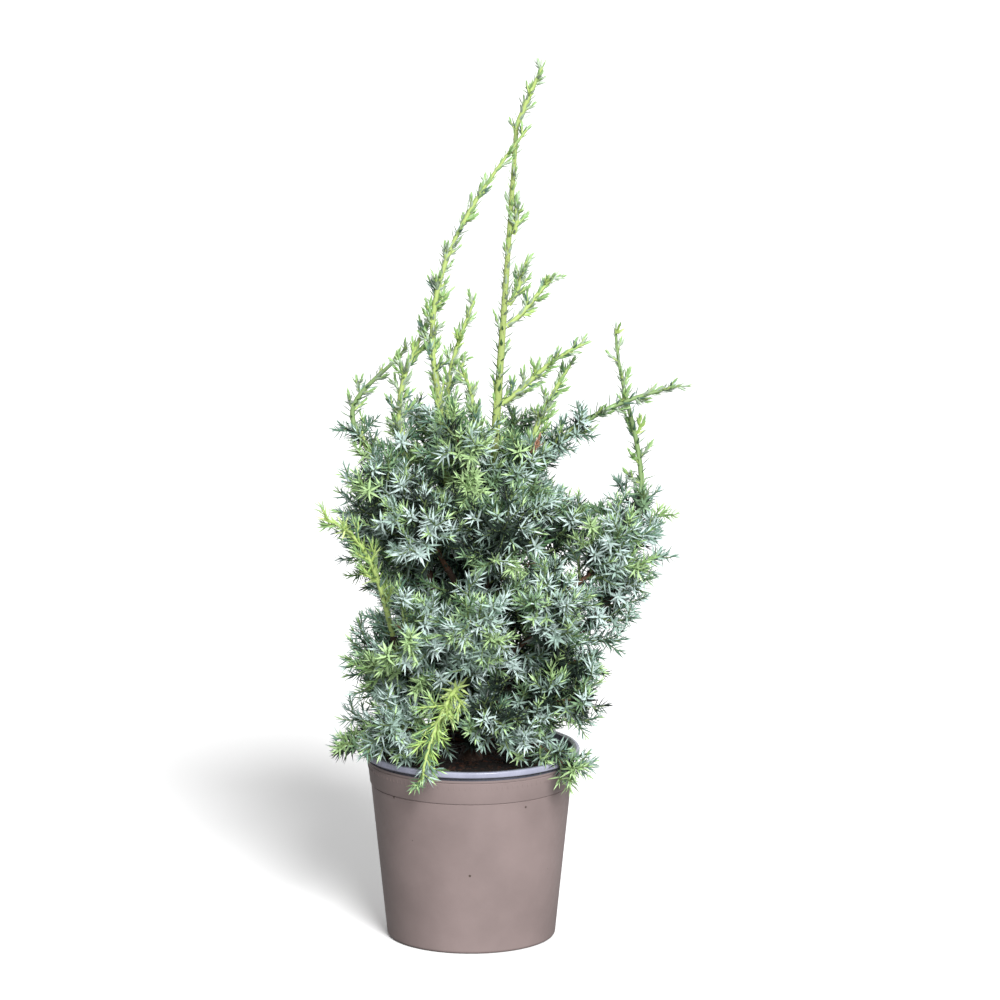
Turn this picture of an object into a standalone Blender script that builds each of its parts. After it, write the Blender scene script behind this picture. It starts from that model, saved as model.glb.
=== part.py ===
"""A young juniper in a nursery pot.

The pot, its soil, the trunk, the boughs and the masses of needle sprays are closed solids of
their own. Named sizes and the branch table are in millimetres; MM turns them into metres when
a mesh is made. Up is +Z, the front is -Y, and the origin is the middle of the pot's underside.
"""

import math
import random
from dataclasses import dataclass
from typing import Optional

import bmesh
import bpy
import numpy as np

MM = 0.001
SEED = 13
GAP = 0.3  # between solids that touch on the real plant
UP = np.array((0.0, 0.0, 1.0))
GOLDEN_ANGLE = math.radians(137.508)

# Pot: a tapered shell with a rolled lip, a collar and one groove line round it
POT_HEIGHT = 115.0
POT_RIM_RADIUS = 65.0
POT_TOP_RADIUS = 62.8
POT_BASE_RADIUS = 51.0
POT_WALL = 1.6
POT_FLOOR = 2.2
POT_FOOT_ROUND = 2.0
POT_SIDES = 36
LIP_HEIGHT = 3.6
COLLAR_DROP = 7.6
GROOVE_DROP = 20.6
GROOVE_STEP = 0.6
DRAIN_HOLES = 6
DRAIN_RADIUS = 3.6
DRAIN_RING = 34.0
DRAIN_SIDES = 8

# Soil: fills the pot to a little under the lip, and is flat where the trunk stands
SOIL_DROP = 9.0
SOIL_HEAP = 1.8
SOIL_FLAT = 11.0

# Trunk: flared foot on the soil, a slight lean to the right, thinning to the leader
TRUNK_FOOT = POT_HEIGHT - SOIL_DROP + SOIL_HEAP + GAP
TRUNK_TIP = 490.0
TRUNK_LEAN = 27.0
TRUNK_SWAY = 0.5
TRUNK_DEPTH_SWAY = 2.5
TRUNK_RADIUS = 5.0
TRUNK_TIP_RADIUS = 1.3
TRUNK_TAPER = 1.5
FLARE_RADIUS = 2.4
FLARE_HEIGHT = 5.0
TRUNK_SIDES = 8
TRUNK_RINGS = 13
TRUNK_RING_CROWDING = 1.5  # above one, the rings are closer together at the foot

# Boughs and the stems inside the masses
BOUGH_SHARE = 0.6  # root radius, as a share of the trunk's there
BOUGH_TIP_RADIUS = 1.8
BOUGH_SIDES = 5
BOUGH_RINGS = 6
STEM_RADIUS = 1.5
STEM_GIRTH = (1.5, 1.6, 1.1)  # radius at the root, a third of the way and at the last whorl
STEM_POINTS = 25
BEND_SHARE = 0.38  # length of a curve's handles, as a share of its chord
LIMB_STEP = 1.0  # between the points that stand for a limb where room is measured

# Twigs round a mass's stem
TWIG_GIRTH = (1.0, 1.3, 1.0)
SPRAY_GIRTH = (1.2, 3.1, 2.2)  # in the crown, where a twig stands for a dense spray
TWIG_POINTS = 13
TWIG_OPEN = math.radians(52)
TWIG_ONWARD = 0.4  # how much a twig turns to its stem's direction, and how much upwards
TWIG_LIFT = 0.35
TWIG_SHORTENING = 0.55  # how much shorter the top twig is than the lowest
TWIG_SINK = 0.4
TWIG_STEP = 2.0
TOP_TWIG = 0.97  # share of the stem where the last twig leaves
LENGTH_RANGE = (0.85, 1.12)  # of twigs and needles, as shares of their named length
LEADER_SPREAD = 24.0  # a branch with twigs up to this long is a slender leading shoot

# Needles, in whorls of three that stand out of a three-sided twig, each whorl turned from the last
NEEDLES_IN_WHORL = 3
NEEDLE_LENGTH = 12.0
NEEDLE_ROOT = 2.6  # how much of the twig's length a needle's root takes
SPRAY_NEEDLE_LENGTH = 20.0
SPRAY_NEEDLE_ROOT = 6.5
NEEDLE_OPEN = math.radians(58)
NEEDLE_OPEN_AT_TIP = math.radians(36)
NEEDLE_CLEAR = 1.6  # to the mass's other twigs
NEEDLE_SAMPLES = 6  # points along a needle where its room is measured
LAST_WHORL = 1.6  # from the twig's tip back to where its last whorl begins, in needle roots
TWIG_WHORL_STEP = 13.0
SPRAY_WHORL_STEP = 15.0
STEM_WHORL_STEP = 18.0

# Room that a mass keeps: to its neighbours' stems, to the limbs and to the pot
SPACE_MARGIN = 0.7
LIMB_MARGIN = 0.7
POT_MARGIN = 1.6
SPINE_STEP = 2.5
TWIGS_SPARED = (0, 3, 6)  # left off the end of a mass, try by try, until it fuses


@dataclass(frozen=True)
class Branch:
    """A bough with its mass of foliage, or a mass whose stem leaves the trunk itself.

    foot is the height on the trunk, fork the place where the bough enters the mass and tip the
    furthest point of the mass's stem. rise, bend and turn are degrees above level: as the limb
    leaves the trunk, at the fork and at the tip. spread is the length of the lowest twigs.
    """

    name: str
    foot: float
    tip: tuple
    rise: float
    turn: float
    spread: float
    twigs: int
    fork: Optional[tuple] = None
    bend: float = 0.0
    bare: float = 0.12


BRANCHES = (
    # The leaders that stand above the crown
    Branch("leader_tip", TRUNK_TIP, (42, 0, 526), 67, 66, 9, 3, bare=0.1),
    Branch("leader_tuft", 420, (27, -4, 447), 66, 84, 9, 3, bare=0.1),
    Branch("leader_steep", 381, (33, -5, 411), 52, 66, 10, 4, bare=0.15),
    Branch("leader_side", 370, (50, 4, 400), 34, 36, 11, 5, bare=0.15),
    Branch("left_leader", 170, (33, -8, 490), 72, 52, 11, 6, (-21, -12, 345), 80, 0.1),
    Branch("left_upright", 150, (-17, -6, 392), 44, 66, 16, 6, (-41, -5, 304), 78, 0.05),
    Branch("middle_upright", 213, (2, 13, 384), 66, 68, 18, 5, (-13, 13, 305), 82, 0.05),
    Branch("left_slender", 142, (-38, 14, 356), 34, 54, 12, 4, (-68, 14, 306), 56, 0.1),
    Branch("arching", 292, (-6, -13, 350), 52, 58, 14, 4),
    Branch("right_upper", 322, (67, -3, 361), 38, 22, 11, 5, bare=0.2),
    Branch("right_fork", 224, (60, 13, 347), 52, 58, 12, 4, (36, 12, 300), 66, 0.1),
    Branch("right_long", 206, (124, -8, 337), 60, 14, 13, 6, (64, -9, 313), 34, 0.1),
    Branch("right_leader", 141, (86, 20, 366), 26, 88, 15, 6, (101, 20, 256), 86, 0.0),
    # The crown's front and sides
    Branch("front_top", 268, (-8, -48, 314), 40, 60, 34, 6),
    Branch("right_top", 256, (34, -32, 300), 34, 50, 26, 6),
    Branch("left_upper", 159, (-58, -30, 284), 36, 40, 36, 7, (-34, -20, 242), 48),
    Branch("middle_left", 193, (-30, -62, 270), 34, 40, 36, 7, (-14, -34, 232), 44),
    Branch("front_upper", 204, (24, -70, 266), 30, 34, 36, 7, (10, -30, 236), 36),
    Branch("left_front", 145, (-44, -70, 206), 24, 28, 38, 7, (-22, -34, 180), 32),
    Branch("front_middle", 165, (0, -84, 212), 24, 24, 38, 7, bare=0.35),
    Branch("right_front", 152, (52, -58, 220), 24, 34, 38, 7, (29, -31, 184), 32),
    Branch("right_cluster", 178, (94, -6, 250), 22, 55, 31, 7, (58, 0, 212), 28),
    Branch("left_low_shoot", 136, (-86, -52, 266), 34, 22, 20, 5, (-46, -38, 192), 74),
    Branch("left_lower", 127, (-62, -24, 176), 22, 28, 38, 7, bare=0.35),
    Branch("right_lower", 133, (65, -20, 174), 26, 26, 34, 7, bare=0.35),
    Branch("front_drooping", 123, (-29, -79, 113), 50, -78, 24, 5, (-7, -46, 163), 8, 0.1),
    # The low sprays that lie over the pot's lip
    Branch("low_left_front", 121, (-52, -56, 138), 24, 8, 32, 7, bare=0.35),
    Branch("rim_right", 119, (60, -48, 110), 14, -42, 26, 6, bare=0.35),
    Branch("rim_left", 118, (-72, -20, 119), 14, -20, 28, 6, bare=0.35),
    Branch("low_front", 123, (14, -69, 148), 26, 8, 28, 6, bare=0.35),
    Branch("low_right", 125, (70, -48, 155), 26, 4, 28, 7, bare=0.3),
    # The side away from the front
    Branch("back_top", 250, (28, 44, 301), 34, 54, 31, 7),
    Branch("back_upper", 197, (-24, 54, 302), 42, 52, 38, 7, (-14, 28, 254), 52),
    Branch("back_left", 167, (-58, 52, 240), 28, 34, 40, 7, (-31, 29, 208), 36),
    Branch("back_right", 180, (56, 58, 246), 28, 34, 40, 7, (32, 32, 214), 36),
    Branch("back_middle", 150, (2, 80, 210), 26, 30, 42, 8, bare=0.35),
    Branch("low_back_left", 120, (-50, 54, 144), 22, 14, 36, 7, bare=0.3),
    Branch("low_back", 118, (6, 76, 134), 20, 6, 34, 7, bare=0.35),
    Branch("low_back_right", 123, (54, 52, 146), 22, 14, 36, 7, bare=0.3),
)


def unit(vector):
    """The vector at length one."""
    return vector / np.linalg.norm(vector)


def sloped(heading, degrees):
    """A direction towards a heading on the ground, so many degrees above level."""
    level = unit(np.array((heading[0], heading[1], 0.0)))
    angle = math.radians(degrees)
    return level * math.cos(angle) + UP * math.sin(angle)


def across(direction):
    """Two directions square to this one and to each other."""
    helper = UP if abs(direction[2]) < 0.9 else np.array((1.0, 0.0, 0.0))
    side = unit(np.cross(helper, direction))
    return side, np.cross(direction, side)


def bent_path(start, leaving, end, arriving, count):
    """A smooth curve of count points between two places, with its direction at both ends."""
    handle = BEND_SHARE * np.linalg.norm(end - start)
    near, far = start + leaving * handle, end - arriving * handle
    t = np.linspace(0.0, 1.0, count)[:, None]
    return (
        start * (1 - t) ** 3
        + near * 3 * t * (1 - t) ** 2
        + far * 3 * t**2 * (1 - t)
        + end * t**3
    )


def directions(path):
    """The path's direction at each of its points."""
    steps = np.gradient(path, axis=0)
    return steps / np.linalg.norm(steps, axis=1)[:, None]


def point_on(path, share):
    """The place and direction at a share of the path's points."""
    place = share * (len(path) - 1)
    low = min(int(place), len(path) - 2)
    part = place - low
    return path[low] * (1 - part) + path[low + 1] * part, unit(path[low + 1] - path[low])


def tube(path, radii, sides, level=False):
    """Vertices and faces of a closed limb along a path, its rings square to it or level."""
    headings = np.tile(UP, (len(path), 1)) if level else directions(path)
    side, _ = across(headings[0])
    vertices, faces = [], []
    for ring in range(len(path)):
        side = unit(side - headings[ring] * np.dot(side, headings[ring]))
        other = np.cross(headings[ring], side)
        for k in range(sides):
            angle = 2 * math.pi * k / sides
            outward = side * math.cos(angle) + other * math.sin(angle)
            vertices.append(path[ring] + outward * radii[ring])
    for ring in range(len(path) - 1):
        for k in range(sides):
            a, b = ring * sides + k, ring * sides + (k + 1) % sides
            faces.append((a, b, b + sides, a + sides))
    faces.append(tuple(reversed(range(sides))))
    faces.append(tuple((len(path) - 1) * sides + k for k in range(sides)))
    return np.array(vertices), faces


def turned(profile, sides):
    """Vertices and faces of a shape turned on the Z axis, from a profile that starts and ends on it."""
    vertices = [(0.0, 0.0, profile[0][1])]
    for radius, height in profile[1:-1]:
        for k in range(sides):
            angle = 2 * math.pi * k / sides
            vertices.append((radius * math.cos(angle), radius * math.sin(angle), height))
    vertices.append((0.0, 0.0, profile[-1][1]))
    faces = [(0, 1 + (k + 1) % sides, 1 + k) for k in range(sides)]
    for ring in range(len(profile) - 3):
        for k in range(sides):
            a = 1 + ring * sides + k
            b = 1 + ring * sides + (k + 1) % sides
            faces.append((a, b, b + sides, a + sides))
    last = 1 + (len(profile) - 3) * sides
    top = len(vertices) - 1
    faces += [(last + k, last + (k + 1) % sides, top) for k in range(sides)]
    return np.array(vertices), faces


def make_object(name, vertices, faces, material=None, smooth=True):
    """A mesh object in metres from a shape in millimetres."""
    mesh = bpy.data.meshes.new(name)
    mesh.from_pydata((np.asarray(vertices) * MM).tolist(), [], faces)
    mesh.update()
    if smooth:
        mesh.shade_smooth()
        mesh.set_sharp_from_angle(angle=math.radians(40))
    thing = bpy.data.objects.new(name, mesh)
    bpy.context.scene.collection.objects.link(thing)
    if material:
        mesh.materials.append(material)
    return thing


def finish(name, colour, roughness, metallic=0.0):
    """A plain Principled material."""
    material = bpy.data.materials.new(name)
    material.use_nodes = True
    shader = material.node_tree.nodes["Principled BSDF"]
    shader.inputs["Base Color"].default_value = (*colour, 1.0)
    shader.inputs["Roughness"].default_value = roughness
    shader.inputs["Metallic"].default_value = metallic
    return material


def wall_radius(height):
    """The pot's outer radius at a height, along its taper."""
    return POT_BASE_RADIUS + (POT_TOP_RADIUS - POT_BASE_RADIUS) * height / POT_HEIGHT


def inner_radius(height):
    """The pot's inner radius at a height."""
    return wall_radius(height) - GROOVE_STEP - POT_WALL


def pot_profile():
    """The pot's section, from the middle of its underside round the lip to its floor."""
    lip_low = POT_HEIGHT - LIP_HEIGHT
    collar_low = POT_HEIGHT - COLLAR_DROP
    groove = POT_HEIGHT - GROOVE_DROP
    lip_round = LIP_HEIGHT / 4
    return (
        (0, 0),
        (wall_radius(0) - GROOVE_STEP - POT_FOOT_ROUND, 0),
        (wall_radius(POT_FOOT_ROUND) - GROOVE_STEP, POT_FOOT_ROUND),
        (wall_radius(groove) - GROOVE_STEP, groove),
        (wall_radius(groove), groove + GROOVE_STEP),
        (wall_radius(collar_low), collar_low),
        (POT_RIM_RADIUS - lip_round, lip_low),
        (POT_RIM_RADIUS, lip_low + lip_round),
        (POT_RIM_RADIUS, POT_HEIGHT - lip_round),
        (POT_RIM_RADIUS - lip_round, POT_HEIGHT),
        (inner_radius(POT_HEIGHT), POT_HEIGHT),
        (inner_radius(POT_FLOOR), POT_FLOOR),
        (0, POT_FLOOR),
    )


def build_pot(material):
    """The pot's shell, with a ring of drain holes through its floor."""
    pot = make_object("pot", *turned(pot_profile(), POT_SIDES), material)
    cutter = make_object("drain_cutter", *drain_pins(), smooth=False)
    cutter.hide_render = True
    cutter.display_type = "WIRE"
    drains = pot.modifiers.new("drains", "BOOLEAN")
    drains.operation = "DIFFERENCE"
    drains.object = cutter


def drain_pins():
    """The upright pins that cut the drain holes."""
    vertices, faces = [], []
    for k in range(DRAIN_HOLES):
        angle = 2 * math.pi * (k + 0.5) / DRAIN_HOLES
        place = np.array((DRAIN_RING * math.cos(angle), DRAIN_RING * math.sin(angle), 0.0))
        path = np.array((place - UP * POT_FLOOR, place + UP * 2 * POT_FLOOR))
        pin, pin_faces = tube(path, (DRAIN_RADIUS, DRAIN_RADIUS), DRAIN_SIDES)
        faces += [tuple(len(vertices) + corner for corner in face) for face in pin_faces]
        vertices += pin.tolist()
    return vertices, faces


def build_soil(material):
    """The soil, clear of the pot's wall and floor, heaped a little round the trunk."""
    low, top = POT_FLOOR + GAP, POT_HEIGHT - SOIL_DROP
    edge = top - SOIL_HEAP
    profile = (
        (0, low),
        (inner_radius(low) - GAP, low),
        (inner_radius(edge) - GAP, edge),
        ((inner_radius(edge) + SOIL_FLAT) / 2, top),
        (SOIL_FLAT, top + SOIL_HEAP),
        (0, top + SOIL_HEAP),
    )
    make_object("soil", *turned(profile, POT_SIDES), material)


def trunk_at(height):
    """The trunk's axis and radius at a height."""
    share = (height - TRUNK_FOOT) / (TRUNK_TIP - TRUNK_FOOT)
    axis = np.array(
        (
            TRUNK_LEAN * share + TRUNK_SWAY * math.sin(math.pi * share),
            TRUNK_DEPTH_SWAY * math.sin(2 * math.pi * share),
            height,
        )
    )
    radius = TRUNK_TIP_RADIUS + (TRUNK_RADIUS - TRUNK_TIP_RADIUS) * (1 - share) ** TRUNK_TAPER
    flare = FLARE_RADIUS * math.exp((TRUNK_FOOT - height) / FLARE_HEIGHT)
    return axis, radius + flare


def trunk_heights(count):
    """Heights up the trunk, closer together at its flared foot."""
    share = np.linspace(0.0, 1.0, count) ** TRUNK_RING_CROWDING
    return TRUNK_FOOT + (TRUNK_TIP - TRUNK_FOOT) * share


def off_trunk(height, heading, radius):
    """Where a limb of this radius starts, clear of the trunk's bark, when it leaves on a heading."""
    axis, bark = trunk_at(height)
    facet = 2 * math.pi / TRUNK_SIDES
    turn = math.atan2(heading[1], heading[0])
    bark *= math.cos(turn - facet * round(turn / facet))
    ahead = unit(trunk_at(height + 1)[0] - axis)
    slope = abs(float(np.dot(heading, ahead)))
    level = math.sqrt(1 - slope * slope)
    reach = (bark + GAP + radius * slope) / level
    return axis + heading * reach


def limb_paths(branch):
    """The centre lines of a branch's bough, or None, and of its mass's stem."""
    tip = np.array(branch.tip, float)
    if branch.foot >= TRUNK_TIP:
        axis, _ = trunk_at(TRUNK_TIP)
        leaving = sloped(tip - axis, branch.rise)
        start = axis + UP * (GAP + STEM_RADIUS * math.cos(math.radians(branch.rise)))
        arriving = sloped(tip - axis, branch.turn)
        return None, bent_path(start, leaving, tip, arriving, STEM_POINTS)
    axis, bark = trunk_at(branch.foot)
    if branch.fork is None:
        leaving = sloped(tip - axis, branch.rise)
        start = off_trunk(branch.foot, leaving, STEM_RADIUS)
        arriving = sloped(tip - axis, branch.turn)
        return None, bent_path(start, leaving, tip, arriving, STEM_POINTS)
    fork = np.array(branch.fork, float)
    leaving = sloped(fork - axis, branch.rise)
    start = off_trunk(branch.foot, leaving, bark * BOUGH_SHARE)
    entering = sloped(fork - axis, branch.bend)
    bough = bent_path(start, leaving, fork, entering, BOUGH_RINGS)
    onward = unit(fork - bough[-2])
    arriving = sloped(tip - fork, branch.turn)
    return bough, bent_path(fork + onward * GAP, onward, tip, arriving, STEM_POINTS)


def resampled(path, step):
    """Points along the path, about one step apart."""
    pieces = []
    for a, b in zip(path[:-1], path[1:]):
        count = max(1, int(np.linalg.norm(b - a) / step))
        pieces.append(a + (b - a) * (np.arange(count) / count)[:, None])
    pieces.append(path[-1:])
    return np.concatenate(pieces)


class Room:
    """The space that each mass keeps to, between the others' stems, the limbs and the pot."""

    def __init__(self, stems, limbs):
        spines = [resampled(stem, SPINE_STEP) for stem in stems]
        self.spine = np.concatenate(spines)
        self.owner = np.concatenate([np.full(len(s), k) for k, s in enumerate(spines)])
        self.limb = np.concatenate([points for points, _ in limbs])
        self.bark = np.concatenate([radii for _, radii in limbs])

    def holds(self, points, mass, thickness=0.0):
        """True if all points lie in this mass's space, with their thickness."""
        away = np.linalg.norm(points[:, None] - self.spine[None], axis=2)
        own = away[:, self.owner == mass].min(axis=1)
        others = away[:, self.owner != mass].min(axis=1)
        if (own + 2 * thickness + SPACE_MARGIN > others).any():
            return False
        clear = np.linalg.norm(points[:, None] - self.limb[None], axis=2) - self.bark
        if clear.min() < LIMB_MARGIN + thickness:
            return False
        return not touches_pot(points, thickness)


def touches_pot(points, thickness):
    """True if a point is in the pot or its soil, or close to them."""
    radius = np.hypot(points[:, 0], points[:, 1])
    near = POT_MARGIN + thickness
    under_lip = points[:, 2] < POT_HEIGHT + near
    in_wall = (radius > inner_radius(POT_HEIGHT) - near) & (radius < POT_RIM_RADIUS + near)
    in_soil = (radius < POT_RIM_RADIUS) & (points[:, 2] < POT_HEIGHT - SOIL_DROP + SOIL_HEAP + near)
    return bool(((under_lip & in_wall) | in_soil).any())


def limb_samples(path, radii):
    """Close points along a limb, with its radius at each."""
    points = resampled(path, LIMB_STEP)
    share = np.linspace(0.0, 1.0, len(points))
    return points, np.interp(share, np.linspace(0.0, 1.0, len(radii)), radii)


def twig_paths(branch, stem, draw):
    """Twigs round the stem at golden turns, longest low down, each bending up to the light."""
    phase = draw.uniform(0, 2 * math.pi)
    for k in range(branch.twigs):
        along = (k + 0.5) / branch.twigs
        place, heading = point_on(stem, branch.bare + (TOP_TWIG - branch.bare) * along)
        side, other = across(heading)
        turn = phase + GOLDEN_ANGLE * k
        outward = side * math.cos(turn) + other * math.sin(turn)
        leaving = unit(heading * math.cos(TWIG_OPEN) + outward * math.sin(TWIG_OPEN))
        length = branch.spread * (1 - TWIG_SHORTENING * along) * draw.uniform(*LENGTH_RANGE)
        arriving = unit(leaving + heading * TWIG_ONWARD + UP * TWIG_LIFT)
        start = place - leaving * TWIG_SINK
        end = place + unit(leaving + arriving) * length
        yield bent_path(start, leaving, end, arriving, TWIG_POINTS)


@dataclass(frozen=True)
class Sprig:
    """How a twig is clad: its radii, the step between whorls, and its needles' length and root."""

    girth: tuple
    step: float
    needle: float
    root: float


LEADER_STEM = Sprig(STEM_GIRTH, STEM_WHORL_STEP, NEEDLE_LENGTH, NEEDLE_ROOT)
LEADER_TWIG = Sprig(TWIG_GIRTH, TWIG_WHORL_STEP, NEEDLE_LENGTH, NEEDLE_ROOT)
CROWN_STEM = Sprig(STEM_GIRTH, STEM_WHORL_STEP, SPRAY_NEEDLE_LENGTH, SPRAY_NEEDLE_ROOT)
CROWN_TWIG = Sprig(SPRAY_GIRTH, SPRAY_WHORL_STEP, SPRAY_NEEDLE_LENGTH, SPRAY_NEEDLE_ROOT)


def whorl_places(path, step, root):
    """Shares of the path where whorls begin: evenly spaced, the last one just short of the tip."""
    length = float(np.linalg.norm(np.diff(path, axis=0), axis=1).sum())
    count = max(1, round(length / step))
    share = root / length
    return [(k + 1) / count - LAST_WHORL * share for k in range(count)], share


def sprig(path, kind, fits, draw):
    """Vertices and faces of a pointed three-sided twig with whorls of sharp needles.

    A needle is a slim pyramid on one side of the twig. fits says whether a needle, given as
    points along it, has room; where it has none the twig's side stays flat.
    """
    places, root = whorl_places(path, kind.step, kind.root)
    side, _ = across(point_on(path, 0.0)[1])
    vertices, faces = [], []
    phase = draw.uniform(0, 2 * math.pi)

    def ring(share, turn):
        nonlocal side
        place, heading = point_on(path, share)
        side = unit(side - heading * np.dot(side, heading))
        other = np.cross(heading, side)
        radius = np.interp(share, (0.0, 0.35, 1.0), kind.girth)
        for k in range(NEEDLES_IN_WHORL):
            angle = turn + 2 * math.pi * k / NEEDLES_IN_WHORL
            vertices.append(place + (side * math.cos(angle) + other * math.sin(angle)) * radius)
        return len(vertices) - NEEDLES_IN_WHORL

    def joined(low, high, shift):
        for k in range(NEEDLES_IN_WHORL):
            after = (k + 1) % NEEDLES_IN_WHORL
            if shift:
                faces.append((low + k, low + after, high + k))
                faces.append((low + after, high + after, high + k))
            else:
                faces.append((low + k, low + after, high + after, high + k))

    first = ring(0.0, phase)
    faces.append((first + 2, first + 1, first))
    last = first
    for count, place in enumerate(places):
        turn = phase + count * math.pi / NEEDLES_IN_WHORL
        low = ring(place, turn)
        joined(last, low, shift=count > 0)
        high = last = ring(place + root, turn)
        heading = point_on(path, place)[1]
        opening = NEEDLE_OPEN + (NEEDLE_OPEN_AT_TIP - NEEDLE_OPEN) * place
        for k in range(NEEDLES_IN_WHORL):
            after = (k + 1) % NEEDLES_IN_WHORL
            corners = (low + k, low + after, high + after, high + k)
            middle = sum(vertices[corner] for corner in corners) / 4
            outward = unit(middle - point_on(path, place + root / 2)[0])
            leaning = unit(heading * math.cos(opening) + outward * math.sin(opening))
            length = kind.needle * draw.uniform(*LENGTH_RANGE)
            reaches = np.linspace(0.1, 1.0, NEEDLE_SAMPLES)[:, None] * length
            if fits(middle + leaning * reaches):
                vertices.append(middle + leaning * length)
                tip = len(vertices) - 1
                faces.extend((a, b, tip) for a, b in zip(corners, corners[1:] + corners[:1]))
            else:
                faces.append(corners)
    vertices.append(path[-1])
    tip = len(vertices) - 1
    for k in range(NEEDLES_IN_WHORL):
        faces.append((last + k, last + (k + 1) % NEEDLES_IN_WHORL, tip))
    return np.array(vertices), faces


def grow(branch, stem, room, mass):
    """The shapes of a mass: its stem, then the twigs, with the needles that keep to its space."""
    draw = random.Random(f"{SEED} {branch.name}")
    kinds = (CROWN_STEM, CROWN_TWIG) if branch.spread > LEADER_SPREAD else (LEADER_STEM, LEADER_TWIG)
    twigs = [
        twig
        for twig in twig_paths(branch, stem, draw)
        if room.holds(resampled(twig, TWIG_STEP)[2:], mass, kinds[1].girth[1])
    ]
    paths = [stem, *twigs]
    lines = [resampled(path, TWIG_STEP) for path in paths]
    shapes = []
    for own, path in enumerate(paths):
        others = [line for k, line in enumerate(lines) if k != own]

        def fits(points):
            for line in others:
                if np.linalg.norm(points[2:, None] - line[None], axis=2).min() < NEEDLE_CLEAR:
                    return False
            return room.holds(points, mass)

        shapes.append(sprig(path, kinds[min(own, 1)], fits, draw))
    return shapes


def is_closed(mesh):
    """True if every edge has two faces and the mesh is one piece."""
    shape = bmesh.new()
    shape.from_mesh(mesh)
    closed = bool(shape.verts) and all(edge.is_manifold for edge in shape.edges)
    reached, waiting = set(), list(shape.verts)[:1]
    while waiting:
        vertex = waiting.pop()
        if vertex in reached:
            continue
        reached.add(vertex)
        waiting += [edge.other_vert(vertex) for edge in vertex.link_edges]
    closed = closed and len(reached) == len(shape.verts)
    shape.free()
    return closed


def fused(name, shapes, material):
    """One solid from overlapping shapes, by a Boolean union on a collection of them."""
    for solver in ("EXACT", "MANIFOLD"):
        for spared in TWIGS_SPARED:
            thing = make_object(name, *shapes[0], material, smooth=False)
            pieces = bpy.data.collections.new("pieces")
            bpy.context.scene.collection.children.link(pieces)
            for shape in shapes[1 : len(shapes) - spared]:
                piece = make_object("piece", *shape, smooth=False)
                bpy.context.scene.collection.objects.unlink(piece)
                pieces.objects.link(piece)
            union = thing.modifiers.new("union", "BOOLEAN")
            union.operation = "UNION"
            union.operand_type = "COLLECTION"
            union.collection = pieces
            union.solver = solver
            evaluated = thing.evaluated_get(bpy.context.evaluated_depsgraph_get())
            mesh = bpy.data.meshes.new_from_object(evaluated)
            thing.modifiers.clear()
            thing.data = mesh
            mesh.name = name
            for piece in list(pieces.objects):
                bpy.data.objects.remove(piece)
            bpy.data.collections.remove(pieces)
            if is_closed(mesh):
                return thing
            bpy.data.objects.remove(thing)
    raise RuntimeError(f"{name} doesn't fuse to one solid")


def main():
    """Builds every piece, from the ground up."""
    for thing in list(bpy.data.objects):
        bpy.data.objects.remove(thing)
    taupe = finish("pot_taupe", (0.30, 0.26, 0.235), 0.45)
    peat = finish("peat_and_bark", (0.055, 0.028, 0.018), 0.95)
    bark = finish("red_brown_bark", (0.16, 0.075, 0.04), 0.85)
    shoot = finish("yellow_green_shoot", (0.22, 0.33, 0.07), 0.6)
    foliage = finish("blue_green_needles", (0.11, 0.24, 0.16), 0.55)

    build_pot(taupe)
    build_soil(peat)
    heights = trunk_heights(TRUNK_RINGS)
    axis = np.array([trunk_at(height)[0] for height in heights])
    radii = [trunk_at(height)[1] for height in heights]
    trunk = tube(axis, radii, TRUNK_SIDES, level=True)
    make_object("trunk", *trunk, bark)

    limbs = [limb_samples(axis, radii)]
    stems = []
    for branch in BRANCHES:
        bough, stem = limb_paths(branch)
        stems.append(stem)
        if bough is not None:
            root = trunk_at(branch.foot)[1] * BOUGH_SHARE
            girth = np.linspace(root, BOUGH_TIP_RADIUS, BOUGH_RINGS)
            make_object(f"bough_{branch.name}", *tube(bough, girth, BOUGH_SIDES), bark)
            limbs.append(limb_samples(bough, girth))
    room = Room(stems, limbs)
    for k, branch in enumerate(BRANCHES):
        shapes = grow(branch, stems[k], room, k)
        fused(f"mass_{branch.name}", shapes, foliage if branch.spread > LEADER_SPREAD else shoot)


main()
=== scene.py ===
"""The looks of a young juniper in its nursery pot, dressed round the fixed frame.

Sizes are millimetres unless a name says otherwise, and MM turns them into metres where a mesh is
made. Up is +Z, the front is -Y, and the origin is the middle of the pot's underside. The limbs and
the masses of foliage grow by the rule that shaped the frame's solids, carried to finer twigs.
"""

import logging
import math
import random
from collections.abc import Iterator, Sequence
from dataclasses import dataclass, field
from enum import Enum
from functools import partial

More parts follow.
